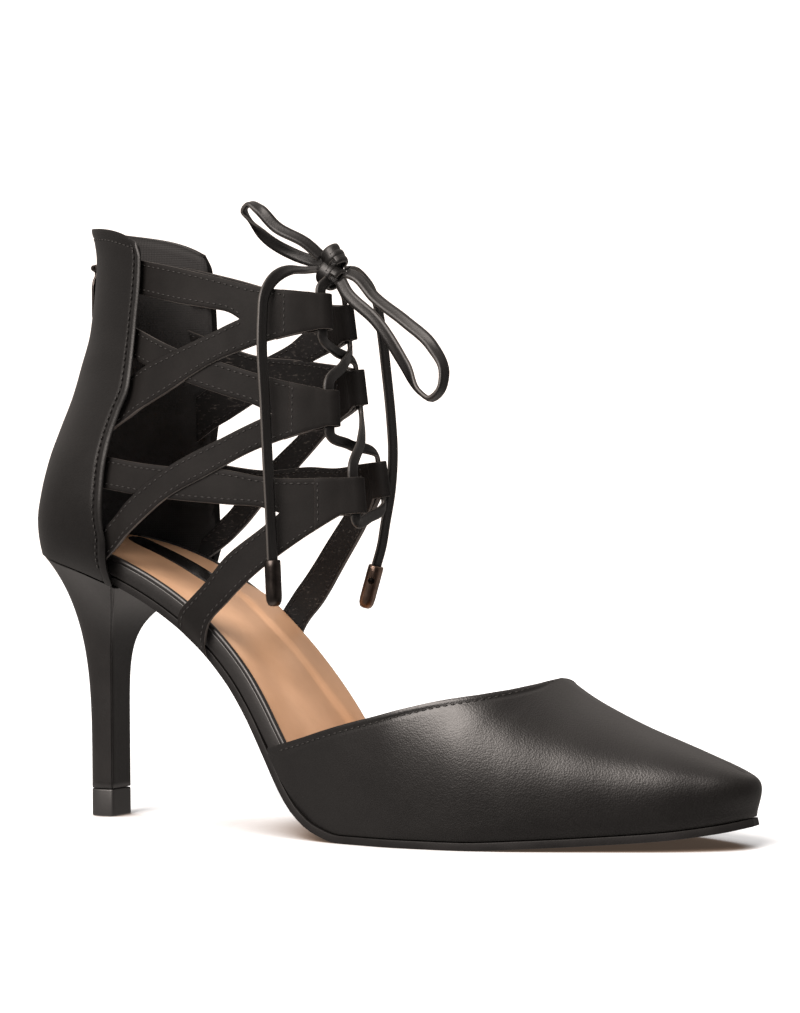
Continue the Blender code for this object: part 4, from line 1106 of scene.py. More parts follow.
# %% Points of the vamp
def vamp_station(share):
    """x of the feather edge and of the ridge at a share of the way from the wing's end to the nose."""
    if share < WING_SHARE:
        x = THROAT_X - (THROAT_X - WING_X) * (1 - share / WING_SHARE) ** WING_EASE
        return x, x
    if share < CONE_SHARE:
        x = THROAT_X + (NOSE_START_X - THROAT_X) * (share - WING_SHARE) / (CONE_SHARE - WING_SHARE)
        return x, x
    turn = (share - CONE_SHARE) / (1 - CONE_SHARE) * math.pi / 2
    feather = NOSE_START_X + (FEATHER_END_X - NOSE_START_X) * math.sin(turn)
    return feather, NOSE_START_X + (RIDGE_END_X - NOSE_START_X) * math.sin(turn)


def vamp_point(share, up, side):
    """Point of the vamp's outside: up runs from the feather edge to the top edge, side is -1 or 1."""
    foot_x, top_x = vamp_station(share)
    half = sole_half(foot_x, 0, FEATHER_END_X)
    half -= (rand_inset(foot_x) - FEATHER_OUT) * smooth_step(half / NOSE_FADE)
    nx, nz = sole_normal(foot_x)
    base_x = foot_x + RAND_BASE * nx
    base_z = sole_z(foot_x) + RAND_BASE * nz
    foot_y = plan_middle(foot_x) + side * half
    crown_y = plan_middle(top_x) * smooth_step((top_x - WING_X) / CROWN_LONG)
    crown_z = ridge_z(top_x)
    wall = wall_power(foot_x)
    limit = math.pi / 2
    if foot_x < THROAT_X:
        drop = INNER_TOPLINE_DROP * math.sin(2 * math.pi * share) if side > 0 else 0.0
        climb = (topline_z(base_x) - drop - base_z) / (crown_z - base_z)
        limit = math.asin(min(1.0, climb) ** (wall / 2))
    angle = up * limit
    top = angle > math.pi / 2 - 1e-6
    spread = 0.0 if top else math.cos(angle) ** (2 / ridge_power(foot_x))
    climb = math.sin(angle) ** (2 / wall)
    out_x, out_y = base_x - top_x, foot_y - crown_y
    length = math.hypot(out_x, out_y)
    full = VAMP_BULGE + NOSE_BULGE * smooth_step((foot_x - NOSE_START_X) / (FEATHER_END_X - NOSE_START_X))
    bulge = 0.0 if top else full * math.sin(2 * angle)
    x = top_x + out_x * spread + bulge * out_x / length
    y = crown_y + out_y * spread + bulge * out_y / length
    return x, y, base_z + (crown_z - base_z) * climb


def edge_rows(v):
    """Rows of a sheet drawn together towards its far edge."""
    return 1 - (1 - v) ** ROW_EASE


print("throat at", vamp_point(WING_SHARE, 1, 1)[0], "mm")

# %% Upper leather and lining
UPPER_TONES = (0.0035, 0.0031, 0.003), (0.0055, 0.005, 0.0047)
UPPER_LEATHER = leather("upper_leather", *UPPER_TONES, (0.32, 0.4), 0.5, 0.03, 0.52)


def lining_cloth():
    """Thin black lining with a fine crossed weave."""
    finish = new_finish("lining_cloth", (0.012, 0.011, 0.011), 0.8)
    tree = finish.node_tree
    where = coordinates(tree)
    weft = add_node(tree, "TexWave", {"Vector": where, "Scale": 420, "Distortion": 0.4}, bands_direction="Z")
    warp = add_node(tree, "TexWave", {"Vector": where, "Scale": 420, "Distortion": 0.4}, bands_direction="X")
    cloud = add_node(tree, "TexNoise", {"Vector": where, "Scale": 120, "Detail": 4})
    vary_colour(tree, cloud.outputs["Fac"], (0.009, 0.0085, 0.0085), (0.017, 0.016, 0.016))
    vary(tree, "Roughness", cloud.outputs["Fac"], 0.7, 0.9)
    add_bumps(tree, [(weft.outputs["Fac"], 0.03), (warp.outputs["Fac"], 0.03)])
    return finish


LINING = lining_cloth()
print("finishes", UPPER_LEATHER.name, "and", LINING.name)

# %% Vamp leather and its stitches
TOPLINE_FOLD, TOPLINE_HIGH, TOPLINE_GROOVE = 1.4, 0.14, 0.1
TOPLINE_ROW = 1.9
WAVE_HIGH, WAVE_FROM_EDGE, WAVE_HALF = 0.07, 7.0, 3.5
WAVE_LONG, WAVE_SWAY, WAVE_SWAY_LONG = 3.3, 1.2, 7.0
THROAT_FADE = 0.05
TOPLINE_POINTS, VAMP_CELLS = 140, (130, 44)
VAMP_ROW_SHARES = (0.015, WING_SHARE - 0.012, 90)
topline_shares = np.linspace(0, WING_SHARE, TOPLINE_POINTS)
topline = np.array([vamp_point(share, 1, side) for side in (-1, 1) for share in topline_shares])


def topline_height(place, u, v):
    """Folded top edge, and soft waves below it where the lasting pulls the leather."""
    shown = smooth_step((WING_SHARE - u) / THROAT_FADE)
    if shown == 0:
        return 0.0
    point = np.array(place(u, v))
    distance = float(np.min(np.linalg.norm(topline - point, axis=1)))
    wave = WAVE_HIGH * math.sin(point[0] / WAVE_LONG + WAVE_SWAY * math.sin(point[0] / WAVE_SWAY_LONG))
    wave *= math.exp(-((distance - WAVE_FROM_EDGE) / WAVE_HALF) ** 2)
    return shown * (fold_height(distance, TOPLINE_FOLD, TOPLINE_HIGH, TOPLINE_GROOVE) + wave)


bm = bmesh.new()
stitches = bmesh.new()
for side in (-1, 1):
    def vamp_side(u, v, side=side):
        return vamp_point(u, edge_rows(v), side)

    folded = raised(vamp_side, lambda u, v: topline_height(vamp_side, u, v), -side)
    bent_sheet(bm, *VAMP_CELLS, folded, flip=side > 0)
    row = []
    for u in np.linspace(*VAMP_ROW_SHARES):
        v = 1 - at_distance(lambda t: vamp_side(u, 1 - t), TOPLINE_ROW)
        row.append(skin(vamp_side, u, v, -side))
    sew(stitches, row)
bmesh.ops.remove_doubles(bm, verts=bm.verts, dist=1e-5)
vamp = add_piece("vamp_leather", bm, [UPPER_LEATHER, LINING], "upper", ["vamp"])
thicken(vamp, VAMP_WALL, lining=1, rim=1)
round_edges(vamp, 0.5, 3)
add_piece("vamp_stitches", stitches, [THREAD], "upper")

# %% [markdown]
# ## Counter
# The counter is the high back that holds the heel, split down the middle for the zip. Each half is a grid
# bent on the ankle's ovals, from its rolled front edge to the zip's slot. Below the zip the halves are sewn
# together, so their points are merged there.

# %% Counter
COUNTER_OUT = 4.0
COUNTER_WALL = 1.9
ZIP_FOOT = 20.0
ZIP_SLOT_HALF = 2.6
COLLAR_BACK = 103.5
COLLAR_SLOPE = 3.0
COLLAR_CORNER, CORNER_POWER = 5.0, 5
SLOT_BELOW, SLOT_LONG = 1, 2.5
COUNTER_EDGE = [
    # height, x
    (0, 60.5), (2.5, 58.0), (5, 53.0), (11.5, 47.6), (20, 46.0), (28, 46.0), (36, 46.8),
    (44, 49.4), (51, 52.2), (70, 52.4), (80, 52.7), (90, 52.4), (96, 50.0),
]
counter_edge = curve_through(COUNTER_EDGE, 1)


def counter_point(u, v, side, out):
    """Point of half the counter: u runs from its front edge to the zip's slot or the back seam, v up."""
    front = 1 - u
    top = COLLAR_BACK - COLLAR_SLOPE * front - COLLAR_CORNER * front ** CORNER_POWER
    height = GAP + v * (top - GAP)
    slot = ZIP_SLOT_HALF * smooth_step((height - ZIP_FOOT + SLOT_BELOW) / SLOT_LONG)
    full = ankle_half(height) + out
    slot_turn = math.asin((slot / full) ** (ankle_round(height) / 2)) / (math.pi / 2)
    turn = slot_turn + (turn_at(counter_edge(height), height, out) - slot_turn) * front
    return oval_point(side * turn if turn > 1e-9 else 0.0, height, out)


LIP_WIDE, LIP_HIGH, LIP_GROOVE = 3.0, 0.6, 0.3
TOP_LIP_SHARE = 0.35
LIP_ROW, TOP_ROW, ZIP_ROW = 4.0, 3.6, 2.2
LIP_ROW_SHARES, TOP_ROW_SHARES, ZIP_ROW_SHARES = (0.02, 0.955, 90), (0.13, 0.985, 50), (0.16, 0.97, 90)
COUNTER_CELLS, COUNTER_EASE = (60, 64), 1.5
bm = bmesh.new()
stitches = bmesh.new()
for side in (-1, 1):
    def counter_side(u, v, side=side):
        return counter_point(u ** COUNTER_EASE, edge_rows(v), side, COUNTER_OUT)

    def lip_height(u, v):
        """Rolled lip down the front edge and along the top."""
        point = np.array(counter_side(u, v))
        front = np.linalg.norm(point - counter_side(0, v))
        top = np.linalg.norm(point - counter_side(u, 1))
        share = TOP_LIP_SHARE + (1 - TOP_LIP_SHARE) * smooth_step((top - front) / LIP_WIDE + 0.5)
        return share * fold_height(min(front, top), LIP_WIDE, LIP_HIGH, LIP_GROOVE)

    bent_sheet(bm, *COUNTER_CELLS, raised(counter_side, lip_height, side), flip=side < 0)
    front_row, top_row, zip_row = [], [], []
    for v in np.linspace(*LIP_ROW_SHARES):
        u = at_distance(lambda t: counter_side(t, v), LIP_ROW)
        front_row.append(skin(counter_side, u, v, side))
    for u in np.linspace(*TOP_ROW_SHARES):
        v = 1 - at_distance(lambda t: counter_side(u, 1 - t), TOP_ROW)
        top_row.append(skin(counter_side, u, v, side))
    for v in np.linspace(*ZIP_ROW_SHARES):
        u = 1 - at_distance(lambda t: counter_side(1 - t, v), ZIP_ROW)
        zip_row.append(skin(counter_side, u, v, side))
    for row in (front_row, top_row, zip_row):
        sew(stitches, row)
bmesh.ops.remove_doubles(bm, verts=bm.verts, dist=1e-5)
bmesh.ops.recalc_face_normals(bm, faces=bm.faces)
COUNTER_LEATHER = leather("counter_leather", *UPPER_TONES, (0.34, 0.44), 0.5, 0.02, 0.3)
counter = add_piece("counter_leather", bm, [COUNTER_LEATHER, LINING], "upper", ["counter"])
thicken(counter, COUNTER_WALL, lining=1)
round_edges(counter, 0.7, 3)
add_piece("counter_stitches", stitches, [THREAD], "upper")

# %% [markdown]
# ## Straps
# Each side has three forked straps: two legs come from under the counter or from the sole and run together
# into a panel. A fork is three grids bent on the ankle ovals between edge lines drawn in side view, joined
# into one sheet and thickened. Where one strap crosses over another it is lifted a little.

# %% Strap tables
STRAP_OUT = 1.8
STRAP_OVER = 2.7
STRAP_THICK = 1.5
INNER_STRAP_SHORT, INNER_SHIFT_LONG = 2.0, 45
SPLIT_HALVINGS = 40
STRAP_FORKS = {
    "upper": {
        "top": [(44, 177.5), (52.6, 175.5), (66.4, 172.2), (77.3, 169.3), (93.6, 164.9), (107, 163.1)],
        "fork_top": [(45, 166.4), (54, 164.4), (67.4, 161.1), (78.2, 159.0), (84.8, 157.4), (88.5, 155.2)],
        "fork_low": [(44, 135.6), (53.1, 140.6), (69.2, 147.1), (81.3, 151.8), (88.5, 155.2)],
        "low": [(42, 121), (49.3, 125.3), (65.9, 133.8), (79.3, 141.2), (92.8, 146.7), (108, 150.9)],
        "over": [(0, STRAP_OUT), (0.18, STRAP_OUT), (0.3, STRAP_OVER), (0.87, STRAP_OVER), (1, STRAP_OUT)],
        "inner_rise": -1.8,
    },
    "middle": {
        "top": [(44, 157.2), (52.2, 153.7), (67.8, 146.9), (83.1, 142.2), (97.8, 137.3), (110.4, 133.9)],
        "fork_top": [(46, 147.5), (53.5, 143.6), (71.4, 136.6), (84.8, 131.9), (95, 128.4), (99.5, 126)],
        "fork_low": [(41, 88.6), (48.2, 94.9), (54.5, 100.9), (67.7, 110.6), (86.4, 119.6), (99.5, 126)],
        "low": [(39, 78.6), (46.7, 84), (56.9, 92.4), (68.2, 101.3), (80.8, 107.6), (96.7, 115.7),
                (111.4, 121.0)],
        "over": [(0, STRAP_OUT), (0.15, STRAP_OUT), (0.25, STRAP_OVER), (0.82, STRAP_OVER), (1, STRAP_OUT)],
        "inner_rise": 7.5,
    },
    "lower": {
        "top": [(39, 115.5), (45.2, 114.3), (57.2, 112.1), (66.9, 110.8), (86.2, 109.3), (98.6, 106.8),
                (118.4, 106.3)],
        "fork_top": [(39, 105.6), (45.1, 104.4), (54.3, 102.7), (68.2, 100.7), (86.7, 98.8), (98.3, 97.6),
                     (103, 96)],
        "fork_low": [(69.6, 61.4), (70.6, 66.6), (74.4, 70.0), (80.3, 75.4), (87.1, 83.1), (98.6, 92.2),
                     (103, 96)],
        "low": [(79.4, 52.8), (78.6, 57.0), (80.6, 62.4), (87.8, 69.6), (97.6, 78.9), (106, 85.4),
                (119.6, 95.2)],
        "over": [(0, 3.4), (0.14, 1.2), (0.3, 1.2), (0.6, STRAP_OUT), (1, STRAP_OUT)],
        "inner_rise": 5.5,
        "inner": {
            "fork_top": [(39, 105.6), (54.3, 102.7), (68.2, 100.7), (86.7, 98.8), (98.3, 97.2), (106, 94.5)],
            "fork_low": [(73.4, 57.3), (74.2, 63.6), (77.5, 68.2), (83.8, 74.6), (93.2, 83.6), (106, 94.5)],
            "low": [(82.6, 47.2), (81.6, 52), (83, 57.4), (90.5, 65), (101, 76), (111, 86), (119.6, 95.2)],
        },
    },
}


def side_point(x, z, out, side):
    return np.array((x, side * oval_y(x, height_at(x, z), out), z))


def split_share(path, x):
    """Share of a path at which it reaches x."""
    low, high = close_in(0.0, 1.0, SPLIT_HALVINGS, lambda share: path(share)[0] < x)
    return 0.5 * (low + high)


def fork_surface(fork, side):
    """Functions of u, v and lift for the two legs of a forked strap and the panel that they run into."""
    fork = {**fork, **fork.get("inner", {})} if side > 0 else fork
    top, low = path_through(fork["top"]), path_through(fork["low"])
    fork_top, fork_low = path_through(fork["fork_top"]), path_through(fork["fork_low"])
    crotch = np.array(fork["fork_top"][-1], float)
    top_split, low_split = split_share(top, crotch[0]), split_share(low, crotch[0])
    over = curve_through(fork["over"], 1)
    first_x, last_x = crotch[0] - INNER_SHIFT_LONG, fork["low"][-1][0]
    rise = fork["inner_rise"] if side > 0 else 0.0
    short = INNER_STRAP_SHORT if side > 0 else 0.0

    def on_form(point, out):
        x, z = point
        toward_end = smooth_step((x - first_x) / (last_x - first_x))
        return side_point(x - short * toward_end, z + rise * toward_end, out, side)

    def mix(a, b, t):
        return a + (b - a) * t

    def upper_leg(u, v, lift=0.0):
        return on_form(mix(top(u * top_split), fork_top(u), v), STRAP_OUT + lift)

    def lower_leg(u, v, lift=0.0):
        return on_form(mix(fork_low(u), low(u * low_split), v), over(u) + lift)

    def panel(u, v, lift=0.0):
        upper = top(top_split + u * (1 - top_split))
        lower = low(low_split + u * (1 - low_split))
        middle = mix(crotch, 0.5 * (top(1) + low(1)), u)
        point = mix(upper, middle, 2 * v) if v < 0.5 else mix(middle, lower, 2 * v - 1)
        return on_form(point, STRAP_OUT + lift)

    return upper_leg, lower_leg, panel


fork_surfaces = {(side, key): fork_surface(fork, side)
                 for side in (-1, 1) for key, fork in STRAP_FORKS.items()}
print(len(fork_surfaces), "forked straps")

# %% [markdown]
# ## Strap leather and its stitches
# A strap is leather outside and brushed lining inside, glued and sewn along both edges, and its cut edge
# is painted as a pale line: partly the edge's own colour, partly a painted highlight. So the sheet takes
# three finishes: outside, inside and rim. The stitches lie on both faces.

# %% Straps
STRAP_TONES = (0.006, 0.0054, 0.0051), (0.010, 0.009, 0.0085)
STRAP_LEATHER = leather("strap_leather", *STRAP_TONES, (0.5, 0.62), 0.5, 0.014, 0.1)
# the rim colour is paler than the strap: partly the cut edge's own colour, partly a painted highlight
PALE_RIM_AND_HIGHLIGHT = leather("cut_edge", (0.035, 0.030, 0.027), (0.075, 0.065, 0.058), (0.5, 0.7), 0.4, 0.02, 0.3)
SIDE_NAMES = {-1: "outer", 1: "inner"}
STRAP_ROW = 1.6
THREAD_PROUD = 0.05
STRAP_ROW_SHARES = (0.02, 1.0, 40)
FORK_CELLS = [(36, 8), (44, 8), (18, 16)]


def brushed_lining():
    """Black lining with a brushed nap: short pale fibres that lie along the strap."""
    finish = new_finish("brushed_lining", (0.010, 0.009, 0.009), 0.7, specular=0.25)
    tree = finish.node_tree
    where = add_node(tree, "Mapping", {"Vector": coordinates(tree), "Rotation": (0.0, 0.5, 0.0),
                                       "Scale": (0.25, 1.0, 1.0)}).outputs["Vector"]
    fibre = add_node(tree, "TexNoise", {"Vector": where, "Scale": 1500, "Detail": 3, "Roughness": 0.7})
    fleck = add_node(tree, "MapRange", {"Value": fibre.outputs["Fac"], "From Min": 0.5, "From Max": 0.8})
    vary_colour(tree, fleck.outputs["Result"], (0.007, 0.0065, 0.0065), (0.070, 0.062, 0.056))
    vary(tree, "Roughness", fibre.outputs["Fac"], 0.55, 0.85)
    add_bumps(tree, [(fibre.outputs["Fac"], 0.08)])
    return finish


BRUSHED_LINING = brushed_lining()


def edge_stitches(bm, surface):
    """Sew both edges of a strap's surface, outside and inside."""
    for edge in (0, 1):
        outside, inside = [], []
        for u in np.linspace(*STRAP_ROW_SHARES):
            width = np.linalg.norm(surface(u, edge) - surface(u, 0.5))
            v = abs(edge - 0.5 * min(1.0, STRAP_ROW / width))
            point = surface(u, v)
            out = unit(surface(u, v, 1.0) - point)
            outside.append((point + THREAD_PROUD * out, out))
            inside.append((point - (STRAP_THICK + THREAD_PROUD) * out, -out))
        sew(bm, outside)
        sew(bm, inside)


def strap_side(side):
    """The three forked straps of one side as one piece of leather sheet, with their stitches."""
    bm = bmesh.new()
    stitches = bmesh.new()
    for key in STRAP_FORKS:
        for surface, cells in zip(fork_surfaces[side, key], FORK_CELLS):
            bent_sheet(bm, *cells, surface, flip=side < 0)
            edge_stitches(stitches, surface)
    bmesh.ops.remove_doubles(bm, verts=bm.verts, dist=1e-5)
    name = SIDE_NAMES[side]
    finishes = [STRAP_LEATHER, BRUSHED_LINING, PALE_RIM_AND_HIGHLIGHT]
    straps = add_piece("straps_" + name + "_leather", bm, finishes, "upper", ["straps_" + name])
    thicken(straps, STRAP_THICK, lining=1, rim=2)
    round_edges(straps, 0.4, 2)
    add_piece("straps_" + name + "_stitches", stitches, [THREAD], "upper")


for side in (-1, 1):
    strap_side(side)

# %% [markdown]
# ## Loops at the straps' ends
# Each panel ends in a tab that is folded inwards round the lace and sewn down with a cross row of stitches.
# The tab is one grid that starts on the panel just behind that row, runs round the lace's tunnel and comes
# back on the inside.

# %% Fold tabs
LOOP_REACH = 4.7
LOOP_MIDDLE_OUT = -1.8
LOOP_HALF_HEIGHT = 5.5
TAB_ALONG, TAB_ACROSS = 3.0, 1.7
TAB_THICK = 1.0
TAB_PROUD = 0.27
TAB_ROW = -6.3
TAB_CELLS, TAB_ROW_SHARES = (64, 10), (0.06, 0.94, 12)
FLAP_OUT = -2.05


def fork_frame(panel):
    """Middle of the panel's front end, with unit vectors along the strap, outward and up."""
    end = panel(1, 0.5)
    up = unit(panel(1, 0) - panel(1, 1))
    along = end - panel(0.9, 0.5)
    along = unit(along - up * np.dot(along, up))
    out = np.cross(up, along)
    if out[1] * end[1] < 0:
        out = -out
    return end, along, out, up


tab_bend = [(LOOP_REACH + TAB_ALONG * math.cos(math.radians(angle)),
             LOOP_MIDDLE_OUT + TAB_ACROSS * math.sin(math.radians(angle)))
            for angle in range(100, -101, -20)]
TAB_PROFILE = [
    # distance past the panel's end, distance out of it
    (-7.2, -0.3), (-6.0, -0.2), (0.0, -0.15), (2.0, -0.1),
    *tab_bend, (1.5, -3.2), (0.0, -2.6), (-3.0, -2.1), (-8.5, FLAP_OUT),
]
tab_profile = path_through(TAB_PROFILE)


def tab_sheet(bm, stitches, side, key):
    """Add the folded tab of one strap to bm, and its cross rows to stitches."""
    panel = fork_surfaces[side, key][2]
    end, along, out, up = fork_frame(panel)
    long = np.linalg.norm(end - panel(0, 0.5))
    high = np.linalg.norm(panel(1, 0) - panel(1, 1))

    def place(u, v):
        reach, lift = tab_profile(u)
        if reach < 0:
            return panel(1 + reach / long, v) + out * lift
        tall = high + (2 * LOOP_HALF_HEIGHT - high) * smooth_step(reach / LOOP_REACH)
        return end + along * reach + out * lift + up * (0.5 - v) * tall

    bent_sheet(bm, *TAB_CELLS, place, flip=side < 0)
    rows = [panel(1 + TAB_ROW / long, v) for v in np.linspace(*TAB_ROW_SHARES)]
    sew(stitches, [(point + (TAB_PROUD + THREAD_PROUD) * out, out) for point in rows])
    sew(stitches, [(point + (FLAP_OUT - 0.5 * TAB_THICK - THREAD_PROUD) * out, -out) for point in rows])


for side in (-1, 1):
    bm = bmesh.new()
    stitches = bmesh.new()
    for key in STRAP_FORKS:
        tab_sheet(bm, stitches, side, key)
    # the tabs' rim takes the same pale colour, partly a painted highlight
    tabs = add_piece("tabs_" + SIDE_NAMES[side], bm, [STRAP_LEATHER, PALE_RIM_AND_HIGHLIGHT], "upper")
    thicken(tabs, TAB_THICK, offset=0.0, rim=1)
    round_edges(tabs, 0.3, 2)
    add_piece("tabs_" + SIDE_NAMES[side] + "_stitches", stitches, [THREAD], "upper")

# %% [markdown]
# ## Lace through the loops
# Between the knot and the bar at the bottom, the lace runs through all six loops and crosses over itself.
# This stretch is held, so it isn't a free cord, but it is the same leather strip.

# %% Lace run
LACE_STRAIGHT = 1.2
CROSSING_APART = 1.6
BAR_SAG = 3.5
RUN_WIDE, RUN_THICK, RUN_STEPS = 3.4, 1.7, 320
FORWARD = np.array((1.0, -0.3, 0.1))


def lace_route():
    """Route of the lace from the knot through the loops and up again, with where its flat side looks."""
    tunnels = {}
    for (side, key), surfaces in fork_surfaces.items():
        end, along, out, up = fork_frame(surfaces[2])
        middle = end + LOOP_REACH * along + LOOP_MIDDLE_OUT * out
        low, high = middle - LOOP_HALF_HEIGHT * up, middle + LOOP_HALF_HEIGHT * up
        tunnels[side, key] = low, high, out + 0.5 * along
    down = [(-1, "upper"), (1, "middle"), (-1, "lower")]
    rise = [(1, "lower"), (-1, "middle"), (1, "upper")]
    passes = [(tunnels[key][1], tunnels[key][0], tunnels[key][2]) for key in down]
    passes += [tunnels[key] for key in rise]
    cross, back, bar = (-CROSSING_APART, 0, 0), (CROSSING_APART, 0, 0), (0, 0, -BAR_SAG)
    shifts = [cross, back, bar, cross, back]
    route = [(knot_exit(passes[0][0]), FORWARD)]
    for number, (first, last, face) in enumerate(passes):
        way = LACE_STRAIGHT * unit(last - first)
        route += [(point, face) for point in (first - way, first, 0.5 * (first + last), last, last + way)]
        if number < len(shifts):
            route.append((0.5 * (last + passes[number + 1][0]) + shifts[number], FORWARD))
    return route + [(knot_exit(passes[-1][1]), FORWARD)]


route = lace_route()
points = np.array([point for point, face in route])
walked = np.concatenate([[0], np.cumsum(np.linalg.norm(np.diff(points, axis=0), axis=1))])
bm = bmesh.new()
run_faces = [(at / walked[-1], face) for at, (point, face) in zip(walked, route)]
strand(bm, points, RUN_STEPS, run_faces, RUN_WIDE, RUN_THICK)
add_piece("lace_run", bm, [LACE_LEATHER], "lace", ["lace_crossings"])

# %% [markdown]
# ## Knot
# The bow's knot is the lace wound round itself: one turn holds the two loops, a second lies below it. Each
# turn is a strand on a short helix, with its flat side outwards, as a strip pulled tight lies.

# %% Knot
KNOT_TURNS = [
    # middle, axis along, radius
    ((111.0, -1.2, 173.8), (0.55, -0.1, -0.83), 2.9),
    ((109.8, -1.2, 168.6), (0.8, 0.0, -0.6), 3.5),
]
TURN_STEPS, TURN_SHARE, TURN_DRIFT = 26, 1.2, 2.6
TURN_WIDE, TURN_THICK, TURN_CELLS = 4.9, 1.6, 52


def knot_turn(bm, middle, axis, radius):
    """One flat turn of the lace about an axis."""
    axis = unit(axis)
    side = unit(np.cross(axis, (0, 1, 0)))
    front = np.cross(axis, side)
    route, faces = [], []
    for share in np.linspace(0, 1, TURN_STEPS):
        turn = 2 * math.pi * TURN_SHARE * share
        away = math.cos(turn) * side + math.sin(turn) * front
        route.append(np.array(middle) + radius * away + axis * (share - 0.5) * TURN_DRIFT)
        faces.append((share, away))
    strand(bm, route, TURN_CELLS, faces, TURN_WIDE, TURN_THICK)


bm = bmesh.new()
for middle, axis, radius in KNOT_TURNS:
    knot_turn(bm, middle, axis, radius)
add_piece("lace_knot_turns", bm, [LACE_LEATHER], "lace", ["lace_knot"])

# %% [markdown]
# ## Zip
# A fine zip closes the back: a woven tape behind the slot, with metal teeth that mesh in the middle below
# the slider and part above it. The tape is a bent strip, and each tooth a small block set along the seam.

# %% Zip tape
TAPE_HALF = 6.5
TAPE_OUT = 1.8
TAPE_THICK = 0.9
TAPE_TOP = COLLAR_BACK - 2.0
TAPE_CELLS = (12, 60)


def back_strip_point(u, v, half, out, foot, top):
    """Point of a strip down the back seam: u across, v up from the foot of the zip."""
    height = foot + v * (top - foot)
    y = (2 * u - 1) * half
    full = ankle_half(height) + out
    turn = math.asin((abs(y) / full) ** (ankle_round(height) / 2)) / (math.pi / 2)
    return oval_point(math.copysign(turn, y), height, out)


def tape_weave():
    """Black woven tape."""
    finish = new_finish("tape_weave", (0.012, 0.012, 0.012), 0.75)
    tree = finish.node_tree
    where = coordinates(tree)
    twill = add_node(tree, "TexWave", {"Vector": where, "Scale": 520, "Distortion": 0.3},
                     bands_direction="DIAGONAL")
    cloud = add_node(tree, "TexNoise", {"Vector": where, "Scale": 150, "Detail": 3})
    vary_colour(tree, cloud.outputs["Fac"], (0.010, 0.010, 0.010), (0.020, 0.019, 0.019))
    vary(tree, "Roughness", twill.outputs["Fac"], 0.6, 0.85)
    add_bumps(tree, [(twill.outputs["Fac"], 0.06)])
    return finish


TAPE_WEAVE = tape_weave()
bm = bmesh.new()
bent_sheet(bm, *TAPE_CELLS,
           lambda u, v: back_strip_point(u, v, TAPE_HALF, TAPE_OUT, ZIP_FOOT, TAPE_TOP), flip=True)
tape = add_piece("zip_tape_cloth", bm, [TAPE_WEAVE], "zip_tape", ["zip_tape"])
thicken(tape, TAPE_THICK)
round_edges(tape, 0.2, 2)

# %% Zip teeth
TOOTH = (1.25, 1.5, 0.62)
TOOTH_PITCH = 1.25
CHAIN_OUT, CHAIN_FOOT, CHAIN_TOP = 2.5, ZIP_FOOT + 1, COLLAR_BACK - 3
MESHED_Y, PARTED_Y = 0.55, 1.9
SLIDER_FOOT, SLIDER_HEAD = 82.0, 94.0


def place_block(bm, middle, axes, size):
    """Add a block of a size in millimetres to bm, turned to three axes."""
    turn = Matrix([Vector(axis) for axis in axes]).transposed().to_4x4()
    place = Matrix.Translation(to_part(middle)) @ turn @ Matrix.Diagonal((*size, 1))
    bmesh.ops.create_cube(bm, size=MM, matrix=place)


bm = bmesh.new()
teeth = np.arange(CHAIN_FOOT, CHAIN_TOP, TOOTH_PITCH)
for number, height in enumerate(teeth):
    parted = smooth_step((height - SLIDER_FOOT) / (SLIDER_HEAD - SLIDER_FOOT))
    y = (MESHED_Y + (PARTED_Y - MESHED_Y) * parted) * (-1) ** number
    below, above = (np.array(oval_point(0.0, height + d, CHAIN_OUT)) for d in (-0.5, 0.5))
    up = unit(above - below)
    across = np.array((0.0, 1.0, 0.0))
    place_block(bm, 0.5 * (below + above) + y * across, (np.cross(across, up), across, up), TOOTH)
zip_teeth = add_piece("zip_teeth", bm, [DARK_METAL], "dark_metal")
round_edges(zip_teeth, 0.15, 2, 30)

# %% [markdown]
# ## Slider and pull
# The slider is a small pressed shoe with two lugs that carry a bar, and the pull hangs on that bar by a
# ring. Only the pull is hard and free, so it rides on its own body and swings. Blocks, cylinders, a spun
# ring and an extruded outline, all with rounded edges, are how such a casting is drawn.

# %% Zip slider
BAR = (20.9, 0.0, 177.0)
BAR_RADIUS, LUG_RADIUS, LUG_Y, LUG_THICK = 0.5, 1.0, 1.75, 0.9
SLIDER_MIDDLE, SLIDER_SIZE = (23.9, 0.0, 174.8), (1.4, 4.4, 11.0)
LUG_ARM = (2.6, LUG_THICK, 1.8)
ALONG_Y = Matrix.Rotation(math.radians(90), 4, "X")


def rod(bm, middle, radius, long):
    """Add a round rod that lies along Y."""
    cylinder(bm, radius, long, Matrix.Translation(to_part(middle)) @ ALONG_Y)


bm = bmesh.new()
level = ((1, 0, 0), (0, 1, 0), (0, 0, 1))
place_block(bm, SLIDER_MIDDLE, level, SLIDER_SIZE)
rod(bm, BAR, BAR_RADIUS, 2 * LUG_Y)
for side in (-1, 1):
    lug = (BAR[0], side * LUG_Y, BAR[2])
    rod(bm, lug, LUG_RADIUS, LUG_THICK)
    place_block(bm, (lug[0] + 0.5 * LUG_ARM[0], lug[1], lug[2]), level, LUG_ARM)
slider = add_piece("zip_slider_casting", bm, [DARK_METAL], "dark_metal", ["zip_slider"])
round_edges(slider, 0.2, 2, 30)

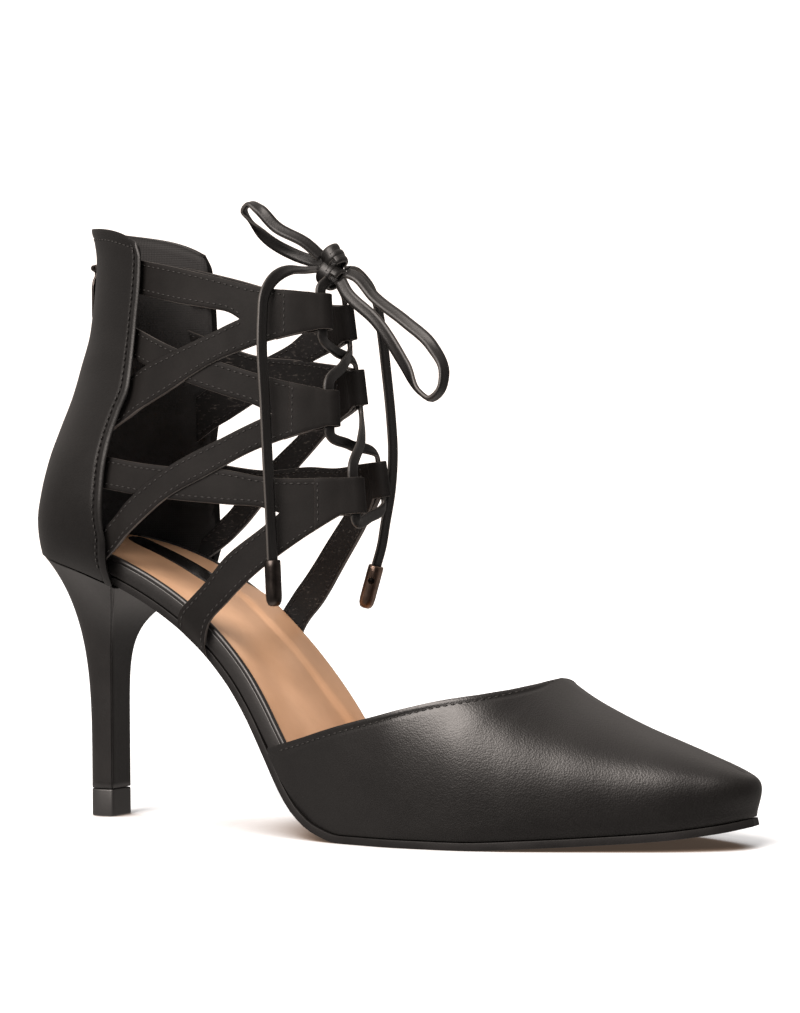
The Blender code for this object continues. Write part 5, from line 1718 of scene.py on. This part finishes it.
# %% Zip pull
PULL_HALF_THICK = 0.4
RING_INNER, RING_OUTER, RING_HALF, RING_STEPS = 0.85, 1.3, 1.0, 24
PULL_SHAPE = [
    # half width, depth below the bar
    (0.9, -1.05), (0.9, -2.4), (2.0, -4.0), (2.6, -6.0), (2.6, -15.6), (2.1, -17.6), (1.0, -18.5),
]
bm = bmesh.new()
outline = PULL_SHAPE + [(-half, depth) for half, depth in PULL_SHAPE[::-1]]
plate = bm.faces.new([bm.verts.new((-PULL_HALF_THICK, half, depth)) for half, depth in outline])
grown = bmesh.ops.extrude_face_region(bm, geom=[plate], use_keep_orig=True)
bmesh.ops.translate(bm, verts=[v for v in grown["geom"] if isinstance(v, bmesh.types.BMVert)],
                    vec=(2 * PULL_HALF_THICK, 0, 0))
corners = [(RING_INNER, -RING_HALF), (RING_OUTER, -RING_HALF),
           (RING_OUTER, RING_HALF), (RING_INNER, RING_HALF)]
ring = [bm.verts.new((radius, y, 0)) for radius, y in corners]
section = [bm.edges.new((ring[i], ring[i - 1])) for i in range(4)]
bmesh.ops.spin(bm, geom=ring + section, axis=(0, 1, 0), cent=(0, 0, 0), angle=2 * math.pi,
               steps=RING_STEPS, use_merge=True)
bmesh.ops.remove_doubles(bm, verts=bm.verts, dist=1e-3)
bmesh.ops.recalc_face_normals(bm, faces=bm.faces)
bmesh.ops.transform(bm, matrix=Matrix.Translation(to_part(BAR)) @ Matrix.Scale(MM, 4), verts=bm.verts)
pull = add_piece("zip_pull_tab", bm, [DARK_METAL], "dark_metal", ["zip_pull"], body="zip_pull")
round_edges(pull, 0.15, 2, 30)

# %% [markdown]
# ## Floor and light
# Product pictures of black leather are taken on a white table with one large soft lamp beside the camera,
# high on the left, and a softer white roof behind. The lamp draws the broad highlight on the vamp, the roof
# the sheen on the toe, and the dim room keeps the leather black. A contact shadow is painted into the
# table's colour: it darkens and warms where the shoe comes close, as far as an ambient occlusion node
# measures. The leather doesn't mirror the table: a glow from below stands in for it, so only faces that look
# down pick it up. The table itself glows a little, in the same colour with its painted shadow, which keeps
# it white.

# %% Floor
FLOOR_HALF = 6.0
# the darker colour is a painted contact shadow, where the shoe nearly touches the table
FLOOR_WHITE, FLOOR_PAINTED_SHADE = (0.86, 0.89, 0.92), (0.2, 0.145, 0.11)
PAINTED_SHADE_REACH = 0.08
FLOOR_GLOW = 0.3
bm = bmesh.new()
bmesh.ops.create_grid(bm, x_segments=1, y_segments=1, size=FLOOR_HALF)
floor_mesh = bpy.data.meshes.new("floor")
bm.to_mesh(floor_mesh)
bm.free()
floor = bpy.data.objects.new("floor", floor_mesh)
bpy.context.scene.collection.objects.link(floor)
table_white = new_finish("table_white", FLOOR_WHITE, 0.9, specular=0.1)
tree = table_white.node_tree
# painted shadow: ambient occlusion darkens and warms the table's colour close to the shoe
painted_contact_shade = add_node(tree, "AmbientOcclusion", {"Distance": PAINTED_SHADE_REACH}, samples=16)
vary_colour(tree, painted_contact_shade.outputs["AO"], FLOOR_PAINTED_SHADE, FLOOR_WHITE)
table_shader = tree.nodes["Principled BSDF"]
# the glow takes the same colour, so the painted shadow darkens the glow as well
tree.links.new(table_shader.inputs["Base Color"].links[0].from_socket, table_shader.inputs["Emission Color"])
table_shader.inputs["Emission Strength"].default_value = FLOOR_GLOW
floor_mesh.materials.append(table_white)
floor.visible_glossy = False
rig.stage(floor)
print("table", 2 * FLOOR_HALF, "m wide")

# %% Lamp and background
SHOE_MIDDLE = Vector((0, 0, 0.08))
LIGHT_TINT = (1.0, 0.91, 0.85)
KEY_WAY = -0.44 * level_right + 0.64 * level_up + 0.63 * camera_back
KEY_SPREAD = math.radians(42)
KEY_POWER = 5.6
ROOF_WAY = (-0.2 * level_right + 0.9 * level_up - 0.35 * camera_back).normalized()
ROOF_GLOW, BACK_GLOW, FRONT_GLOW, BELOW_GLOW = 1.1, 0.35, 0.02, 1.3
ROOF_FROM, ROOF_FULL = 0.5, 0.97
ROOM_FROM, ROOM_FULL = -0.9, -0.2
BELOW_FROM, BELOW_FULL = -0.35, -0.9
SEEN_WHITE = 1.6

light = bpy.data.lights.new("key_lamp", "SUN")
light.energy = KEY_POWER
light.angle = KEY_SPREAD
light.color = LIGHT_TINT
lamp = bpy.data.objects.new("key_lamp", light)
bpy.context.scene.collection.objects.link(lamp)
lamp.location = SHOE_MIDDLE + KEY_WAY
lamp.rotation_euler = KEY_WAY.to_track_quat("Z", "Y").to_euler()

world = bpy.data.worlds.new("studio")
world.use_nodes = True
bpy.context.scene.world = world
tree = world.node_tree
way = coordinates(tree, "Generated")
away = add_node(tree, "VectorMath", {0: way, 1: -camera_back}, operation="DOT_PRODUCT")
room_range = {"Value": away.outputs["Value"], "From Min": ROOM_FROM, "From Max": ROOM_FULL,
              "To Min": FRONT_GLOW, "To Max": BACK_GLOW}
room = add_node(tree, "MapRange", room_range, interpolation_type="SMOOTHSTEP")
height = add_node(tree, "SeparateXYZ", {"Vector": way}).outputs["Z"]
low = add_node(tree, "MapRange", {"Value": height, "From Min": BELOW_FROM, "From Max": BELOW_FULL,
                                  "To Min": room.outputs["Result"], "To Max": BELOW_GLOW})
over = add_node(tree, "VectorMath", {0: way, 1: ROOF_WAY}, operation="DOT_PRODUCT")
roof_range = {"Value": over.outputs["Value"], "From Min": ROOF_FROM, "From Max": ROOF_FULL,
              "To Min": low.outputs["Result"], "To Max": ROOF_GLOW}
glow = add_node(tree, "MapRange", roof_range, interpolation_type="SMOOTHSTEP")
rays = add_node(tree, "LightPath", {})
seen = add_node(tree, "MapRange", {"Value": rays.outputs["Is Camera Ray"], "To Min": glow.outputs["Result"],
                                   "To Max": SEEN_WHITE})
sky = tree.nodes["Background"]
sky.inputs["Color"].default_value = (*LIGHT_TINT, 1)
tree.links.new(seen.outputs["Result"], sky.inputs["Strength"])
bpy.context.scene.view_settings.view_transform = "Standard"
print("key lamp", KEY_POWER, "beside the camera, roof", ROOF_GLOW)

# %% Sizes and finish
scene_box = [list(corner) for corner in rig.bounds()]
with open("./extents.json", "w") as file:
    json.dump({"cad": cad_box, "scene": scene_box}, file)
print("CAD box", cad_box, "scene box", scene_box)
